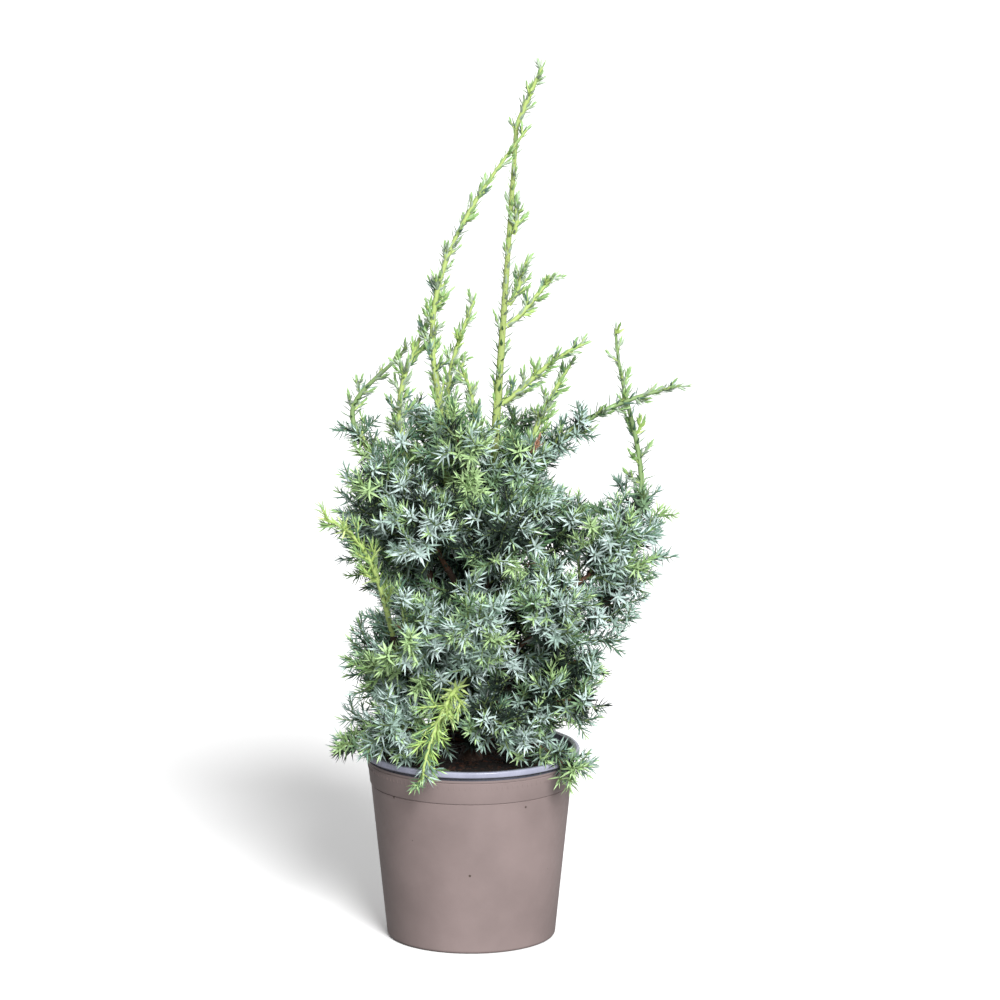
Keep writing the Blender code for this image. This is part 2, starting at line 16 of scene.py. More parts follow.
import bpy
import numpy as np
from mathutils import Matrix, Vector


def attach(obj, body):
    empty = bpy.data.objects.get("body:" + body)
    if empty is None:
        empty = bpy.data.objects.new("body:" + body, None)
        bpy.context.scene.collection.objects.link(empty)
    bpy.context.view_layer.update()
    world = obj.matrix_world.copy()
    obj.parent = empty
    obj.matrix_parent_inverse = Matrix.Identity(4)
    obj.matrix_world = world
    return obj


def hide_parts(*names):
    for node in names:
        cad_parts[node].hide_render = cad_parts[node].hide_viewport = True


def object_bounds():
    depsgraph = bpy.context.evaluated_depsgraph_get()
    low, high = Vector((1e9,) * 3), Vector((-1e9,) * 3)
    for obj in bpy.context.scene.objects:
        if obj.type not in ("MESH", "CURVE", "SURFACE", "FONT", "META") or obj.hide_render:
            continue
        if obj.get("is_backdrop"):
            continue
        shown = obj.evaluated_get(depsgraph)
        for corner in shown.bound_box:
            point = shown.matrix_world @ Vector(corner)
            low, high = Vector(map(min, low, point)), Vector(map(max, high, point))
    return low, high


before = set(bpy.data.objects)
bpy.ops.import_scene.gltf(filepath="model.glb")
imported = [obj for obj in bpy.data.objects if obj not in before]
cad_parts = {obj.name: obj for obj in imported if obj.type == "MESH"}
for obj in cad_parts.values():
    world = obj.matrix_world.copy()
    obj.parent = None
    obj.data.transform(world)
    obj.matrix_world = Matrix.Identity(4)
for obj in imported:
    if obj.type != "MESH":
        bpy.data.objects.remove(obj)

log = logging.getLogger("juniper")

MM = 0.001
SEED = 13
BODY = "root"
UP = np.array((0.0, 0.0, 1.0))
GOLDEN_ANGLE = math.radians(137.508)
BEND_SHARE = 0.38
NOISE_RANGE = (0.3, 0.7)
LEADER_SPREAD = 24.0

Array = np.ndarray
Material = bpy.types.Material
Mesh = bpy.types.Mesh
Node = bpy.types.Node
Socket = bpy.types.NodeSocket
Thing = bpy.types.Object
Ring = Range = tuple[float, float]
Place = tuple[float, float, float]
Box = Sequence[Sequence[float]]
Inputs = dict[str | int, object]


def unit(vector: Array) -> Array:
    """The vector at length one."""
    return vector / np.linalg.norm(vector)


def sloped(heading: Array, degrees: float) -> Array:
    """A direction towards a heading on the ground, so many degrees above level."""
    level = unit(np.array((heading[0], heading[1], 0.0)))
    angle = math.radians(degrees)
    return level * math.cos(angle) + UP * math.sin(angle)


def across(direction: Array) -> tuple[Array, Array]:
    """Two directions square to this one and to each other."""
    helper = UP if abs(direction[2]) < 0.9 else np.array((1.0, 0.0, 0.0))
    side = unit(np.cross(helper, direction))
    return side, np.cross(direction, side)


def bent_path(start: Array, leaving: Array, end: Array, arriving: Array, count: int) -> Array:
    """A smooth curve between two places.

    Args:
        start: where it begins.
        leaving: its direction there.
        end: where it ends.
        arriving: its direction there.
        count: how many points it gets.

    Returns:
        The points, one a row.
    """
    handle = BEND_SHARE * np.linalg.norm(end - start)
    near, far = start + leaving * handle, end - arriving * handle
    t = np.linspace(0.0, 1.0, count)[:, None]
    return (
        start * (1 - t) ** 3
        + near * 3 * t * (1 - t) ** 2
        + far * 3 * t**2 * (1 - t)
        + end * t**3
    )


def point_on(path: Array, share: float) -> tuple[Array, Array]:
    """The place and direction at a share of the path's points.

    Args:
        path: its points.
        share: how far along them, from 0 to 1.

    Returns:
        The place, and the direction at length one.
    """
    place = share * (len(path) - 1)
    low = min(int(place), len(path) - 2)
    part = place - low
    return path[low] * (1 - part) + path[low + 1] * part, unit(path[low + 1] - path[low])


def path_length(path: Array) -> float:
    """The length of a path."""
    return float(np.linalg.norm(np.diff(path, axis=0), axis=1).sum())


def resampled(path: Array, step: float) -> Array:
    """Points along the path, about one step apart.

    Args:
        path: its points.
        step: the way between the new ones.

    Returns:
        The new points, with the last one kept.
    """
    pieces = []
    for a, b in zip(path[:-1], path[1:]):
        count = max(1, int(np.linalg.norm(b - a) / step))
        pieces.append(a + (b - a) * (np.arange(count) / count)[:, None])
    pieces.append(path[-1:])
    return np.concatenate(pieces)


@dataclass(frozen=True)
class Colour:
    """A colour as a screen shows it, each part from 0 to 255."""

    red: int
    green: int
    blue: int

    def linear(self) -> tuple[float, float, float, float]:
        """The colour in linear light, with full alpha."""
        parts = [value / 255 for value in (self.red, self.green, self.blue)]
        light = [p / 12.92 if p <= 0.04045 else ((p + 0.055) / 1.055) ** 2.4 for p in parts]
        return light[0], light[1], light[2], 1.0


@dataclass(frozen=True)
class Wiring:
    """Writes nodes into a shader or geometry tree."""

    tree: bpy.types.NodeTree

    def add(self, kind: str, inputs: Inputs | None = None, **settings: object) -> Node:
        """Places a node.

        Args:
            kind: the node's type.
            inputs: what each input gets, by name or index: a plain value, or an output to link.
            settings: the node's own settings.

        Returns:
            The new node.
        """
        node = self.tree.nodes.new(kind)
        for name, value in settings.items():
            setattr(node, name, value)
        for key, value in (inputs or {}).items():
            if isinstance(value, Socket):
                self.tree.links.new(value, node.inputs[key])
            else:
                node.inputs[key].default_value = value
        return node

    def out(self, kind: str, inputs: Inputs | None = None, **settings: object) -> Socket:
        """The first output of a node that is placed in the same way."""
        return self.add(kind, inputs, **settings).outputs[0]

    def math(self, operation: str, *values: object) -> Socket:
        """The output of a Math node on these values or outputs."""
        return self.out("ShaderNodeMath", dict(enumerate(values)), operation=operation)

    def vector(self, operation: str, *values: object) -> Socket:
        """The output of a Vector Math node on these values or outputs."""
        return self.out("ShaderNodeVectorMath", dict(enumerate(values)), operation=operation)

    def scaled(self, vector: object, scale: Socket) -> Socket:
        """A vector output times a number."""
        return self.out("ShaderNodeVectorMath", {0: vector, "Scale": scale}, operation="SCALE")

    def spread(
        self, value: Socket, low: float, high: float, to_low: object, to_high: object
    ) -> Socket:
        """A value moved from one range to another, and held there."""
        return self.out("ShaderNodeMapRange", {0: value, 1: low, 2: high, 3: to_low, 4: to_high})

    def attribute(self, name: str, kind: str) -> Socket:
        """A named attribute of the geometry."""
        return self.out("GeometryNodeInputNamedAttribute", {"Name": name}, data_type=kind)


def placed(name: str, data: bpy.types.ID) -> Thing:
    """A new object in the scene."""
    thing = bpy.data.objects.new(name, data)
    bpy.context.scene.collection.objects.link(thing)
    return thing


def applied(thing: Thing, modifier: bpy.types.Modifier) -> None:
    """Turns what a modifier makes of an object into its own mesh.

    Args:
        thing: the object.
        modifier: its one modifier, which is removed.
    """
    view = thing.evaluated_get(bpy.context.evaluated_depsgraph_get())
    mesh = bpy.data.meshes.new_from_object(view)
    thing.modifiers.remove(modifier)
    thing.data = mesh


SOCKETS = {float: "NodeSocketFloat", int: "NodeSocketInt"}
CARRIED = ("breadth", "finish", "girth", "heading", "keel", "length", "tone", "upper")


class GeometryTree:
    """A geometry tree with named inputs, run on a mesh and turned into a plain one."""

    def __init__(self, name: str, inputs: dict[str, float | int]) -> None:
        """Starts the tree.

        Args:
            name: its name.
            inputs: its inputs, each with the value that it is run with.
        """
        self.tree = bpy.data.node_groups.new(name, "GeometryNodeTree")
        self.values = inputs
        sockets = self.tree.interface
        sockets.new_socket("Geometry", in_out="INPUT", socket_type="NodeSocketGeometry")
        for label, value in inputs.items():
            sockets.new_socket(label, in_out="INPUT", socket_type=SOCKETS[type(value)])
        sockets.new_socket("Geometry", in_out="OUTPUT", socket_type="NodeSocketGeometry")
        self.wiring = Wiring(self.tree)
        self.given = self.wiring.add("NodeGroupInput").outputs

    def end(self, geometry: Socket, finishes: Sequence[Material]) -> None:
        """Ends the tree: instances realized, then each material on the faces of its number.

        Args:
            geometry: what the tree has made, its faces numbered by the attribute "finish".
            finishes: the materials, in the order of those numbers.
        """
        wiring = self.wiring
        held = wiring.out("GeometryNodeRealizeInstances", {"Geometry": geometry})
        number = wiring.attribute("finish", "INT")
        for k, material in enumerate(finishes):
            pair = {2: number, 3: k}
            chosen = wiring.out("FunctionNodeCompare", pair, data_type="INT", operation="EQUAL")
            picked = {"Geometry": held, "Selection": chosen, "Material": material}
            held = wiring.out("GeometryNodeSetMaterial", picked)
        wiring.add("NodeGroupOutput", {"Geometry": held})

    def stored(self, geometry: Socket, name: str, value: Socket, domain: str = "FACE") -> Socket:
        """The geometry with a whole number kept on it under a name.

        Args:
            geometry: what carries the number.
            name: its name.
            value: the number.
            domain: what each number belongs to.

        Returns:
            The geometry that carries it.
        """
        kept = {"Geometry": geometry, "Name": name, "Value": value}
        kind = "GeometryNodeStoreNamedAttribute"
        return self.wiring.out(kind, kept, data_type="INT", domain=domain)

    def tubes(self) -> Socket:
        """Round limbs along the given edges, as thick as the attribute "girth", and capped."""
        wiring, given = self.wiring, self.given
        curve = wiring.out("GeometryNodeMeshToCurve", {"Mesh": given["Geometry"]})
        pace = {"Curve": curve, "Length": given["Step"]}
        even = wiring.out("GeometryNodeResampleCurve", pace, mode="LENGTH")
        round_once = {"Resolution": given["Sides"], "Radius": 1.0}
        ring = wiring.out("GeometryNodeCurvePrimitiveCircle", round_once)
        girth = wiring.attribute("girth", "FLOAT")
        swept = {"Curve": even, "Profile Curve": ring, "Scale": girth, "Fill Caps": True}
        return wiring.out("GeometryNodeCurveToMesh", swept)

    def run(self, name: str, source: Mesh) -> Thing:
        """A plain mesh object: what the tree makes of a mesh.

        Args:
            name: the new object's name.
            source: the mesh that the tree starts from, which is removed.

        Returns:
            The object, with no modifier left on it.
        """
        thing = placed(name, source)
        modifier = thing.modifiers.new("grown", "NODES")
        modifier.node_group = self.tree
        for item in self.tree.interface.items_tree:
            if item.in_out == "INPUT" and item.name in self.values:
                modifier[item.identifier] = self.values[item.name]
        applied(thing, modifier)
        thing.data.name = name
        layers = thing.data.attributes
        for label in [layer.name for layer in layers if layer.name in CARRIED]:
            layers.remove(layers[label])
        bpy.data.meshes.remove(source)
        return thing


def settle(piece: Thing, slot: str, *nodes: str) -> None:
    """Makes a piece ride with the part and stand for the frame's nodes.

    Args:
        piece: a finished mesh object.
        slot: not used.
        nodes: the frame's nodes that it stands for.
    """
    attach(piece, BODY)
    if nodes:
        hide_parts(*nodes)
    triangles = sum(len(face.vertices) - 2 for face in piece.data.polygons)
    log.info("%s: %d triangles", piece.name, triangles)


def shape_mesh(name: str, vertices: Sequence[Place], faces: Sequence[Sequence[int]]) -> Mesh:
    """A mesh in metres from a shape in millimetres."""
    mesh = bpy.data.meshes.new(name)
    mesh.from_pydata((np.asarray(vertices) * MM).tolist(), [], faces)
    mesh.update()
    return mesh


def solid(name: str, vertices: Sequence[Place], faces: Sequence[Sequence[int]]) -> Thing:
    """A mesh object in metres from a shape in millimetres."""
    return placed(name, shape_mesh(name, vertices, faces))


def path_mesh(name: str, paths: Sequence[Array], **layers: Sequence[Array]) -> Mesh:
    """Paths in millimetres as runs of edges, for a geometry tree to read.

    Args:
        name: the mesh's name.
        paths: the paths, each with its points one a row. A path of one point stays a loose point.
        layers: an attribute for each name: its values at the points, one array for each path.

    Returns:
        The mesh, in metres.
    """
    edges, first = [], 0
    for path in paths:
        edges += [(first + k, first + k + 1) for k in range(len(path) - 1)]
        first += len(path)
    mesh = bpy.data.meshes.new(name)
    mesh.from_pydata((np.concatenate(paths) * MM).tolist(), edges, [])
    for label, rows in layers.items():
        values = np.concatenate(rows)
        kind, part = ("INT" if values.dtype.kind == "i" else "FLOAT"), "value"
        if values.ndim > 1:
            kind, part = "FLOAT_VECTOR", "vector"
        mesh.attributes.new(label, kind, "POINT").data.foreach_set(part, values.ravel())
    return mesh


def ring_points(radius: float, height: float, sides: int, middle: Ring = (0.0, 0.0)) -> list[Place]:
    """Points round a level circle.

    Args:
        radius: the circle's radius.
        height: how high it lies.
        sides: how many points it gets.
        middle: its middle, across and deep.

    Returns:
        The points, from +X round by +Y.
    """
    angles = [2 * math.pi * k / sides for k in range(sides)]
    x, y = middle
    return [(x + radius * math.cos(a), y + radius * math.sin(a), height) for a in angles]


def ring_faces(first: int, sides: int) -> list[tuple[int, int, int, int]]:
    """Faces from the ring of points that starts at this number to the ring after it."""
    pairs = [(first + k, first + (k + 1) % sides) for k in range(sides)]
    return [(a, b, b + sides, a + sides) for a, b in pairs]


# Finishes


def new_material(name: str) -> tuple[Material, Wiring, Node]:
    """A material, the wiring of its tree and its Principled shader."""
    material = bpy.data.materials.new(name)
    material.use_nodes = True
    return material, Wiring(material.node_tree), material.node_tree.nodes["Principled BSDF"]


@dataclass(frozen=True)
class PlainFinish:
    """One even colour, dealt out by spray or by chip."""

    name: str
    colour: Colour
    roughness: float

    def build(self) -> Material:
        """The material."""
        material, _, shader = new_material(self.name)
        shader.inputs["Base Color"].default_value = self.colour.linear()
        shader.inputs["Roughness"].default_value = self.roughness
        return material


class Mottle:
    """A shader group: a soft cloudy mask and a mask of specks, in object space."""

    finer: float = 9.0

    def __init__(self) -> None:
        """Builds the group."""
        tree = bpy.data.node_groups.new("mottle", "ShaderNodeTree")
        for label in ("Scale", "Stretch", "Speck Scale", "Speck Size"):
            kind = "NodeSocketVector" if label == "Stretch" else "NodeSocketFloat"
            tree.interface.new_socket(label, in_out="INPUT", socket_type=kind)
        for label in ("Cloud", "Grain", "Specks"):
            tree.interface.new_socket(label, in_out="OUTPUT", socket_type="NodeSocketFloat")
        wiring = Wiring(tree)
        given = wiring.add("NodeGroupInput").outputs
        place = wiring.add("ShaderNodeTexCoord").outputs["Object"]
        stretched = wiring.vector("MULTIPLY", place, given["Stretch"])
        cloud = {"Vector": stretched, "Scale": given["Scale"], "Detail": 5.0}
        finer = wiring.math("MULTIPLY", given["Scale"], self.finer)
        grain = {"Vector": stretched, "Scale": finer, "Detail": 3.0}
        cells = wiring.out("ShaderNodeTexVoronoi", {"Vector": place, "Scale": given["Speck Scale"]})
        masks = {
            "Cloud": wiring.out("ShaderNodeTexNoise", cloud),
            "Grain": wiring.out("ShaderNodeTexNoise", grain),
            "Specks": wiring.math("LESS_THAN", cells, given["Speck Size"]),
        }
        wiring.add("NodeGroupOutput", masks)
        self.tree = tree


@dataclass(frozen=True)
class MottledFinish:
    """Two colours in soft clouds with specks of a third, on a finely uneven surface.

    scale and speck_scale are how fine the clouds and the cells of the specks are, speck_size is
    a speck's share of its cell, and relief the height of the grain. Where they are mixed, clouds
    reach from one end of cloud_range to the other, and young growth from one end of youth_range
    to the other, uneven by ragged.
    """

    name: str
    colour: Colour
    cloud: Colour
    speck: Colour
    roughness: Range
    scale: float
    speck_scale: float
    speck_size: float
    relief: float
    stretch: Place = (1.0, 1.0, 1.0)
    cloud_range: Range = (0.35, 0.65)
    youth_range: Range = (0.1, 0.9)
    ragged: float = 0.15
    bump: float = 0.6

    def build(self, mottle: Mottle, youth: Colour | None = None) -> Material:
        """The material.

        Args:
            mottle: the group that gives its masks.
            youth: the colour of young growth, mixed in by the attribute "youth".

        Returns:
            The material.
        """
        material, wiring, shader = new_material(self.name)
        sizes = {
            "Scale": self.scale,
            "Stretch": self.stretch,
            "Speck Scale": self.speck_scale,
            "Speck Size": self.speck_size,
        }
        masks = wiring.add("ShaderNodeGroup", sizes, node_tree=mottle.tree).outputs
        cloud, grain = masks["Cloud"], masks["Grain"]
        share = wiring.spread(cloud, *self.cloud_range, 0.0, 1.0)
        colour = self.blend(wiring, share, self.colour.linear(), self.cloud.linear())
        if youth is not None:
            young = wiring.add("ShaderNodeAttribute", attribute_name="youth").outputs["Fac"]
            strays = wiring.spread(cloud, *NOISE_RANGE, -self.ragged, self.ragged)
            uneven = wiring.math("ADD", young, strays)
            held = wiring.spread(uneven, *self.youth_range, 0.0, 1.0)
            colour = self.blend(wiring, held, colour, youth.linear())
        colour = self.blend(wiring, masks["Specks"], colour, self.speck.linear())
        raised = {"Strength": self.bump, "Distance": self.relief * MM, "Height": grain}
        looks = {
            "Base Color": colour,
            "Roughness": wiring.spread(grain, *NOISE_RANGE, *self.roughness),
            "Normal": wiring.out("ShaderNodeBump", raised),
        }
        for name, output in looks.items():
            wiring.tree.links.new(output, shader.inputs[name])
        return material

    def blend(self, wiring: Wiring, share: Socket, first: object, second: object) -> Socket:
        """A mix of two colours or colour outputs."""
        node = wiring.add("ShaderNodeMix", {0: share, 6: first, 7: second}, data_type="RGBA")
        return node.outputs[2]


POT_SPECK = Colour(60, 52, 48)


class Surface(Enum):
    """The mottled finishes."""

    BARK = MottledFinish(
        "bark_red_brown", Colour(78, 55, 43), Colour(48, 35, 28), Colour(100, 80, 65),
        roughness=(0.7, 0.95), scale=160.0, speck_scale=700.0, speck_size=0.22, relief=0.25,
        stretch=(1.0, 1.0, 0.25),
    )
    POT = MottledFinish(
        "pot_taupe", Colour(138, 123, 121), Colour(127, 113, 111), Colour(76, 64, 58),
        roughness=(0.36, 0.5), scale=26.0, speck_scale=46.0, speck_size=0.035, relief=0.04,
    )
    # The lip: the same grey plastic as the inside, made much lighter as a painted highlight on its
    # rounded edge.
    LIP = MottledFinish(
        "pot_lip_grey", Colour(162, 164, 182), Colour(140, 142, 160), POT_SPECK,
        roughness=(0.22, 0.36), scale=60.0, speck_scale=90.0, speck_size=0.06, relief=0.03,
    )
    # The inside's own dark grey, also laid in the recess under the lip as painted shade.
    INSIDE = MottledFinish(
        "pot_inside_grey", Colour(92, 93, 104), Colour(76, 77, 87), POT_SPECK,
        roughness=(0.22, 0.36), scale=60.0, speck_scale=90.0, speck_size=0.06, relief=0.03,
    )
    # Dark peat, its own colour darkened further as painted shade under the crown.
    PEAT = MottledFinish(
        "peat_dark", Colour(31, 23, 19), Colour(24, 18, 15), Colour(51, 35, 26),
        roughness=(0.85, 1.0), scale=140.0, speck_scale=420.0, speck_size=0.2, relief=0.5,
    )


class Chip(Enum):
    """What a chip or crumb of bark on the soil looks like."""

    # The chips' own browns, darkened further as painted shade under the crown.
    BROWN = PlainFinish("bark_chip_brown", Colour(58, 39, 28), 0.85)
    RED = PlainFinish("bark_chip_red", Colour(74, 45, 33), 0.85)
    DARK = PlainFinish("bark_chip_dark", Colour(36, 26, 22), 0.9)


@dataclass(frozen=True)
class NeedleFinish:
    """The two sides of a needle: its bloomed upper face and its keeled underside."""

    upper: Colour
    under: Colour
    upper_roughness: float = 0.5
    under_roughness: float = 0.42

    def build(self, tone: str) -> tuple[Material, Material]:
        """The materials of the underside and of the upper face."""
        upper = PlainFinish(f"needle_{tone}_upper", self.upper, self.upper_roughness)
        under = PlainFinish(f"needle_{tone}_under", self.under, self.under_roughness)
        return under.build(), upper.build()


class Tone(Enum):
    """What a spray of needles looks like."""

    # Each under colour is the needle's own greener underside, darkened further as painted shade.
    SILVER = NeedleFinish(Colour(196, 216, 212), Colour(114, 146, 128))
    BLUE_GREEN = NeedleFinish(Colour(160, 185, 174), Colour(92, 124, 104))
    GREEN = NeedleFinish(Colour(128, 160, 122), Colour(80, 114, 78))
    # The dark tone: older needles' own darker green, made much darker as painted shade for the crown's
    # inside and the feet of its sprays.
    DEEP = NeedleFinish(Colour(32, 47, 39), Colour(15, 25, 20))
    FRESH = NeedleFinish(Colour(176, 206, 148), Colour(146, 182, 118))
    LIME = NeedleFinish(Colour(206, 226, 152), Colour(162, 194, 108))
    LEADER = NeedleFinish(Colour(194, 206, 194), Colour(165, 184, 158))
    BROWN = NeedleFinish(Colour(190, 148, 124), Colour(150, 108, 86))


TONES = tuple(Tone)


class Wood(Enum):
    """What a stem or twig looks like."""

    BROWN_TWIG = PlainFinish("twig_red_brown", Colour(88, 60, 44), 0.7)
    OLIVE_TWIG = PlainFinish("twig_olive", Colour(100, 118, 72), 0.6)
    YOUNG_STEM = PlainFinish("stem_yellow_green", Colour(168, 188, 112), 0.5)
    GREEN_STEM = PlainFinish("stem_green", Colour(124, 150, 96), 0.55)


WOODS = tuple(Wood)


class Mood(Enum):
    """How the tones are dealt out to a mass's sprays: weights in the order of Tone."""

    SILVERY = (54, 28, 9, 3, 6, 0, 0, 0)
    MIXED = (34, 32, 20, 5, 9, 0, 0, 0)
    GREENISH = (26, 32, 24, 1, 17, 0, 0, 0)
    SHADED = (14, 32, 24, 26, 4, 0, 0, 0)
    # Much silver: partly the sprays' own silver, partly painted light that keeps the lower front as
    # bright as the lit rosettes.
    LIVELY = (54, 22, 8, 1, 15, 0, 0, 0)
    LIMY = (4, 4, 10, 0, 34, 48, 0, 0)
    LEADING = (11, 7, 3, 0, 17, 6, 56, 0)
    STARRY = (34, 22, 12, 27, 5, 0, 0, 0)
    # Mostly silver: the right cluster's own silver, made lighter still as painted light where the
    # light falls full on it.
    BRIGHT = (70, 14, 2, 0, 14, 0, 0, 0)


# How often a spray deep in a mass is dark, where the light reaches further in than elsewhere
DEEP_SHARES = {Mood.BRIGHT: 0.15, Mood.LIVELY: 0.25, Mood.GREENISH: 0.45, Mood.SILVERY: 0.75}


# The frame's plan, repeated: where each bough and mass goes


@dataclass(frozen=True)
class Branch:
    """A bough with its mass of foliage, or a mass whose stem leaves the trunk itself.

    foot is the height on the trunk, fork the place where the bough enters the mass and tip the
    furthest point of the mass's stem. rise, bend and turn are degrees above level: as the limb
    leaves the trunk, at the fork and at the tip. spread is the length of the lowest twigs.
    """

    name: str
    foot: float
    tip: Place
    rise: float
    turn: float
    spread: float
    twigs: int
    fork: Place | None = None
    bend: float = 0.0
    bare: float = 0.12
    mood: Mood = Mood.MIXED

    @property
    def leads(self) -> bool:
        """True for a slender shoot that stands out of the crown."""
        return self.spread <= LEADER_SPREAD

    @property
    def sparse(self) -> bool:
        """True for a leader whose needles are few."""
        return self.name in ("left_slender", "right_long", "right_leader")

    @property
    def lead_clothing(self) -> "Clothing":
        """How needles sit on the twigs and sprigs of a leader."""
        return LIMY_CLOTHING if self.mood is Mood.LIMY else TUFT_CLOTHING

    @property
    def node(self) -> str:
        """The frame's node for the mass."""
        return f"mass_{self.name}"


TRUNK_TIP = 490.0

# A shoot above the crown
Leader = partial(Branch, mood=Mood.LEADING)

BRANCHES = (
    # The leaders that stand above the crown
    Leader("leader_tip", TRUNK_TIP, (42, 0, 526), 67, 66, 9, 3, bare=0.1),
    Leader("leader_tuft", 420, (27, -4, 447), 66, 84, 9, 3, bare=0.1),
    Leader("leader_steep", 381, (33, -5, 411), 52, 66, 10, 4, bare=0.15),
    Leader("leader_side", 370, (50, 4, 400), 34, 36, 11, 5, bare=0.15),
    Leader("left_leader", 170, (33, -8, 490), 72, 52, 11, 6, (-21, -12, 345), 80, 0.1),
    Leader("left_upright", 150, (-17, -6, 392), 44, 66, 16, 6, (-41, -5, 304), 78, 0.05),
    Leader("middle_upright", 213, (2, 13, 384), 66, 68, 18, 5, (-13, 13, 305), 82, 0.05),
    Leader("left_slender", 142, (-38, 14, 356), 34, 54, 12, 4, (-68, 14, 306), 56, 0.1),
    Leader("arching", 292, (-6, -13, 350), 52, 58, 14, 4),
    Leader("right_upper", 322, (67, -3, 361), 38, 22, 11, 5, bare=0.2),
    Leader("right_fork", 224, (60, 13, 347), 52, 58, 12, 4, (36, 12, 300), 66, 0.1),
    Leader("right_long", 206, (124, -8, 337), 60, 14, 13, 6, (64, -9, 313), 34, 0.1),
    Leader("right_leader", 141, (86, 20, 366), 26, 88, 15, 6, (101, 20, 256), 86, 0.0),
    # The crown's front and sides
    Branch("front_top", 268, (-8, -48, 314), 40, 60, 34, 6, mood=Mood.GREENISH),
    Branch("right_top", 256, (34, -32, 300), 34, 50, 26, 6, mood=Mood.GREENISH),
    Branch("left_upper", 159, (-58, -30, 284), 36, 40, 36, 7, (-34, -20, 242), 48, mood=Mood.SILVERY),
    Branch("middle_left", 193, (-30, -62, 270), 34, 40, 36, 7, (-14, -34, 232), 44, mood=Mood.STARRY),
    Branch("front_upper", 204, (24, -70, 266), 30, 34, 36, 7, (10, -30, 236), 36, mood=Mood.STARRY),
    Branch("left_front", 145, (-44, -70, 206), 24, 28, 38, 7, (-22, -34, 180), 32, mood=Mood.LIVELY),
    Branch("front_middle", 165, (0, -84, 212), 24, 24, 38, 7, bare=0.35, mood=Mood.LIVELY),
    Branch("right_front", 152, (52, -58, 220), 24, 34, 38, 7, (29, -31, 184), 32, mood=Mood.SILVERY),
    Branch("right_cluster", 178, (94, -6, 250), 22, 55, 31, 7, (58, 0, 212), 28, mood=Mood.BRIGHT),
    Branch("left_low_shoot", 136, (-86, -52, 266), 34, 22, 20, 5, (-46, -38, 192), 74, mood=Mood.LIMY),
    Branch("left_lower", 127, (-62, -24, 176), 22, 28, 38, 7, bare=0.35),
    Branch("right_lower", 133, (65, -20, 174), 26, 26, 34, 7, bare=0.35, mood=Mood.SHADED),
    Branch("front_drooping", 123, (-29, -79, 113), 50, -78, 24, 5, (-7, -46, 163), 8, 0.1, Mood.LIMY),
    # The low sprays that lie over the pot's lip
    Branch("low_left_front", 121, (-52, -56, 138), 24, 8, 32, 7, bare=0.35, mood=Mood.LIVELY),
    Branch("rim_right", 119, (60, -48, 110), 14, -42, 26, 6, bare=0.35, mood=Mood.LIVELY),
    Branch("rim_left", 118, (-72, -20, 119), 14, -20, 28, 6, bare=0.35),
    Branch("low_front", 123, (14, -69, 148), 26, 8, 28, 6, bare=0.35, mood=Mood.SHADED),
    Branch("low_right", 125, (70, -48, 155), 26, 4, 28, 7, bare=0.3, mood=Mood.SHADED),
    # The side away from the front
    Branch("back_top", 250, (28, 44, 301), 34, 54, 31, 7, mood=Mood.GREENISH),
    Branch("back_upper", 197, (-24, 54, 302), 42, 52, 38, 7, (-14, 28, 254), 52, mood=Mood.GREENISH),
    Branch("back_left", 167, (-58, 52, 240), 28, 34, 40, 7, (-31, 29, 208), 36, mood=Mood.SILVERY),
    Branch("back_right", 180, (56, 58, 246), 28, 34, 40, 7, (32, 32, 214), 36),
    Branch("back_middle", 150, (2, 80, 210), 26, 30, 42, 8, bare=0.35, mood=Mood.SILVERY),
    Branch("low_back_left", 120, (-50, 54, 144), 22, 14, 36, 7, bare=0.3, mood=Mood.LIVELY),
    Branch("low_back", 118, (6, 76, 134), 20, 6, 34, 7, bare=0.35),
    Branch("low_back_right", 123, (54, 52, 146), 22, 14, 36, 7, bare=0.3),
)


@dataclass(frozen=True)
class Clothing:
    """How needles sit on a shoot. Openings are degrees from the shoot's heading.

    step is the way between whorls, needle a grown needle's length, opening its angle at the
    shoot's foot and closing at its tip, and young the share of the length that tip needles have.
    breadth widens the needles, sunk is the share of the shoot's radius that their feet stand at,
    and turning is how late they close up. The foot's tone ends at the share dark of the shoot,
    and the tip's begins at the share fresh.
    """

    step: float
    needle: float
    opening: float
    closing: float
    young: float
    breadth: float
    sunk: float = 0.55
    turning: float = 2.2
    dark: float = 0.4
    fresh: float = 0.62


CROWN_CLOTHING = Clothing(2.3, 8.9, 66, 28, 0.62, breadth=1.22, fresh=0.76)
STEM_CLOTHING = Clothing(2.8, 9.2, 72, 34, 0.6, breadth=1.2)
INNER_CLOTHING = Clothing(4.0, 10.0, 78, 46, 0.8, breadth=2.0)
UPRIGHT_CLOTHING = Clothing(4.2, 7.6, 44, 14, 0.75, breadth=1.8, sunk=0.8)
LEADER_CLOTHING = Clothing(4.6, 8.2, 54, 18, 0.7, breadth=1.7, sunk=0.9)
SPIKY_CLOTHING = Clothing(4.4, 8.4, 64, 16, 0.7, breadth=1.4, sunk=0.9)
TUFT_CLOTHING = Clothing(2.6, 6.2, 28, 6, 0.75, breadth=2.2)
LIMY_CLOTHING = Clothing(3.1, 8.4, 48, 20, 0.7, breadth=1.2)
LIMY_STEM_CLOTHING = Clothing(3.0, 9.4, 66, 24, 0.65, breadth=1.3, sunk=0.8)

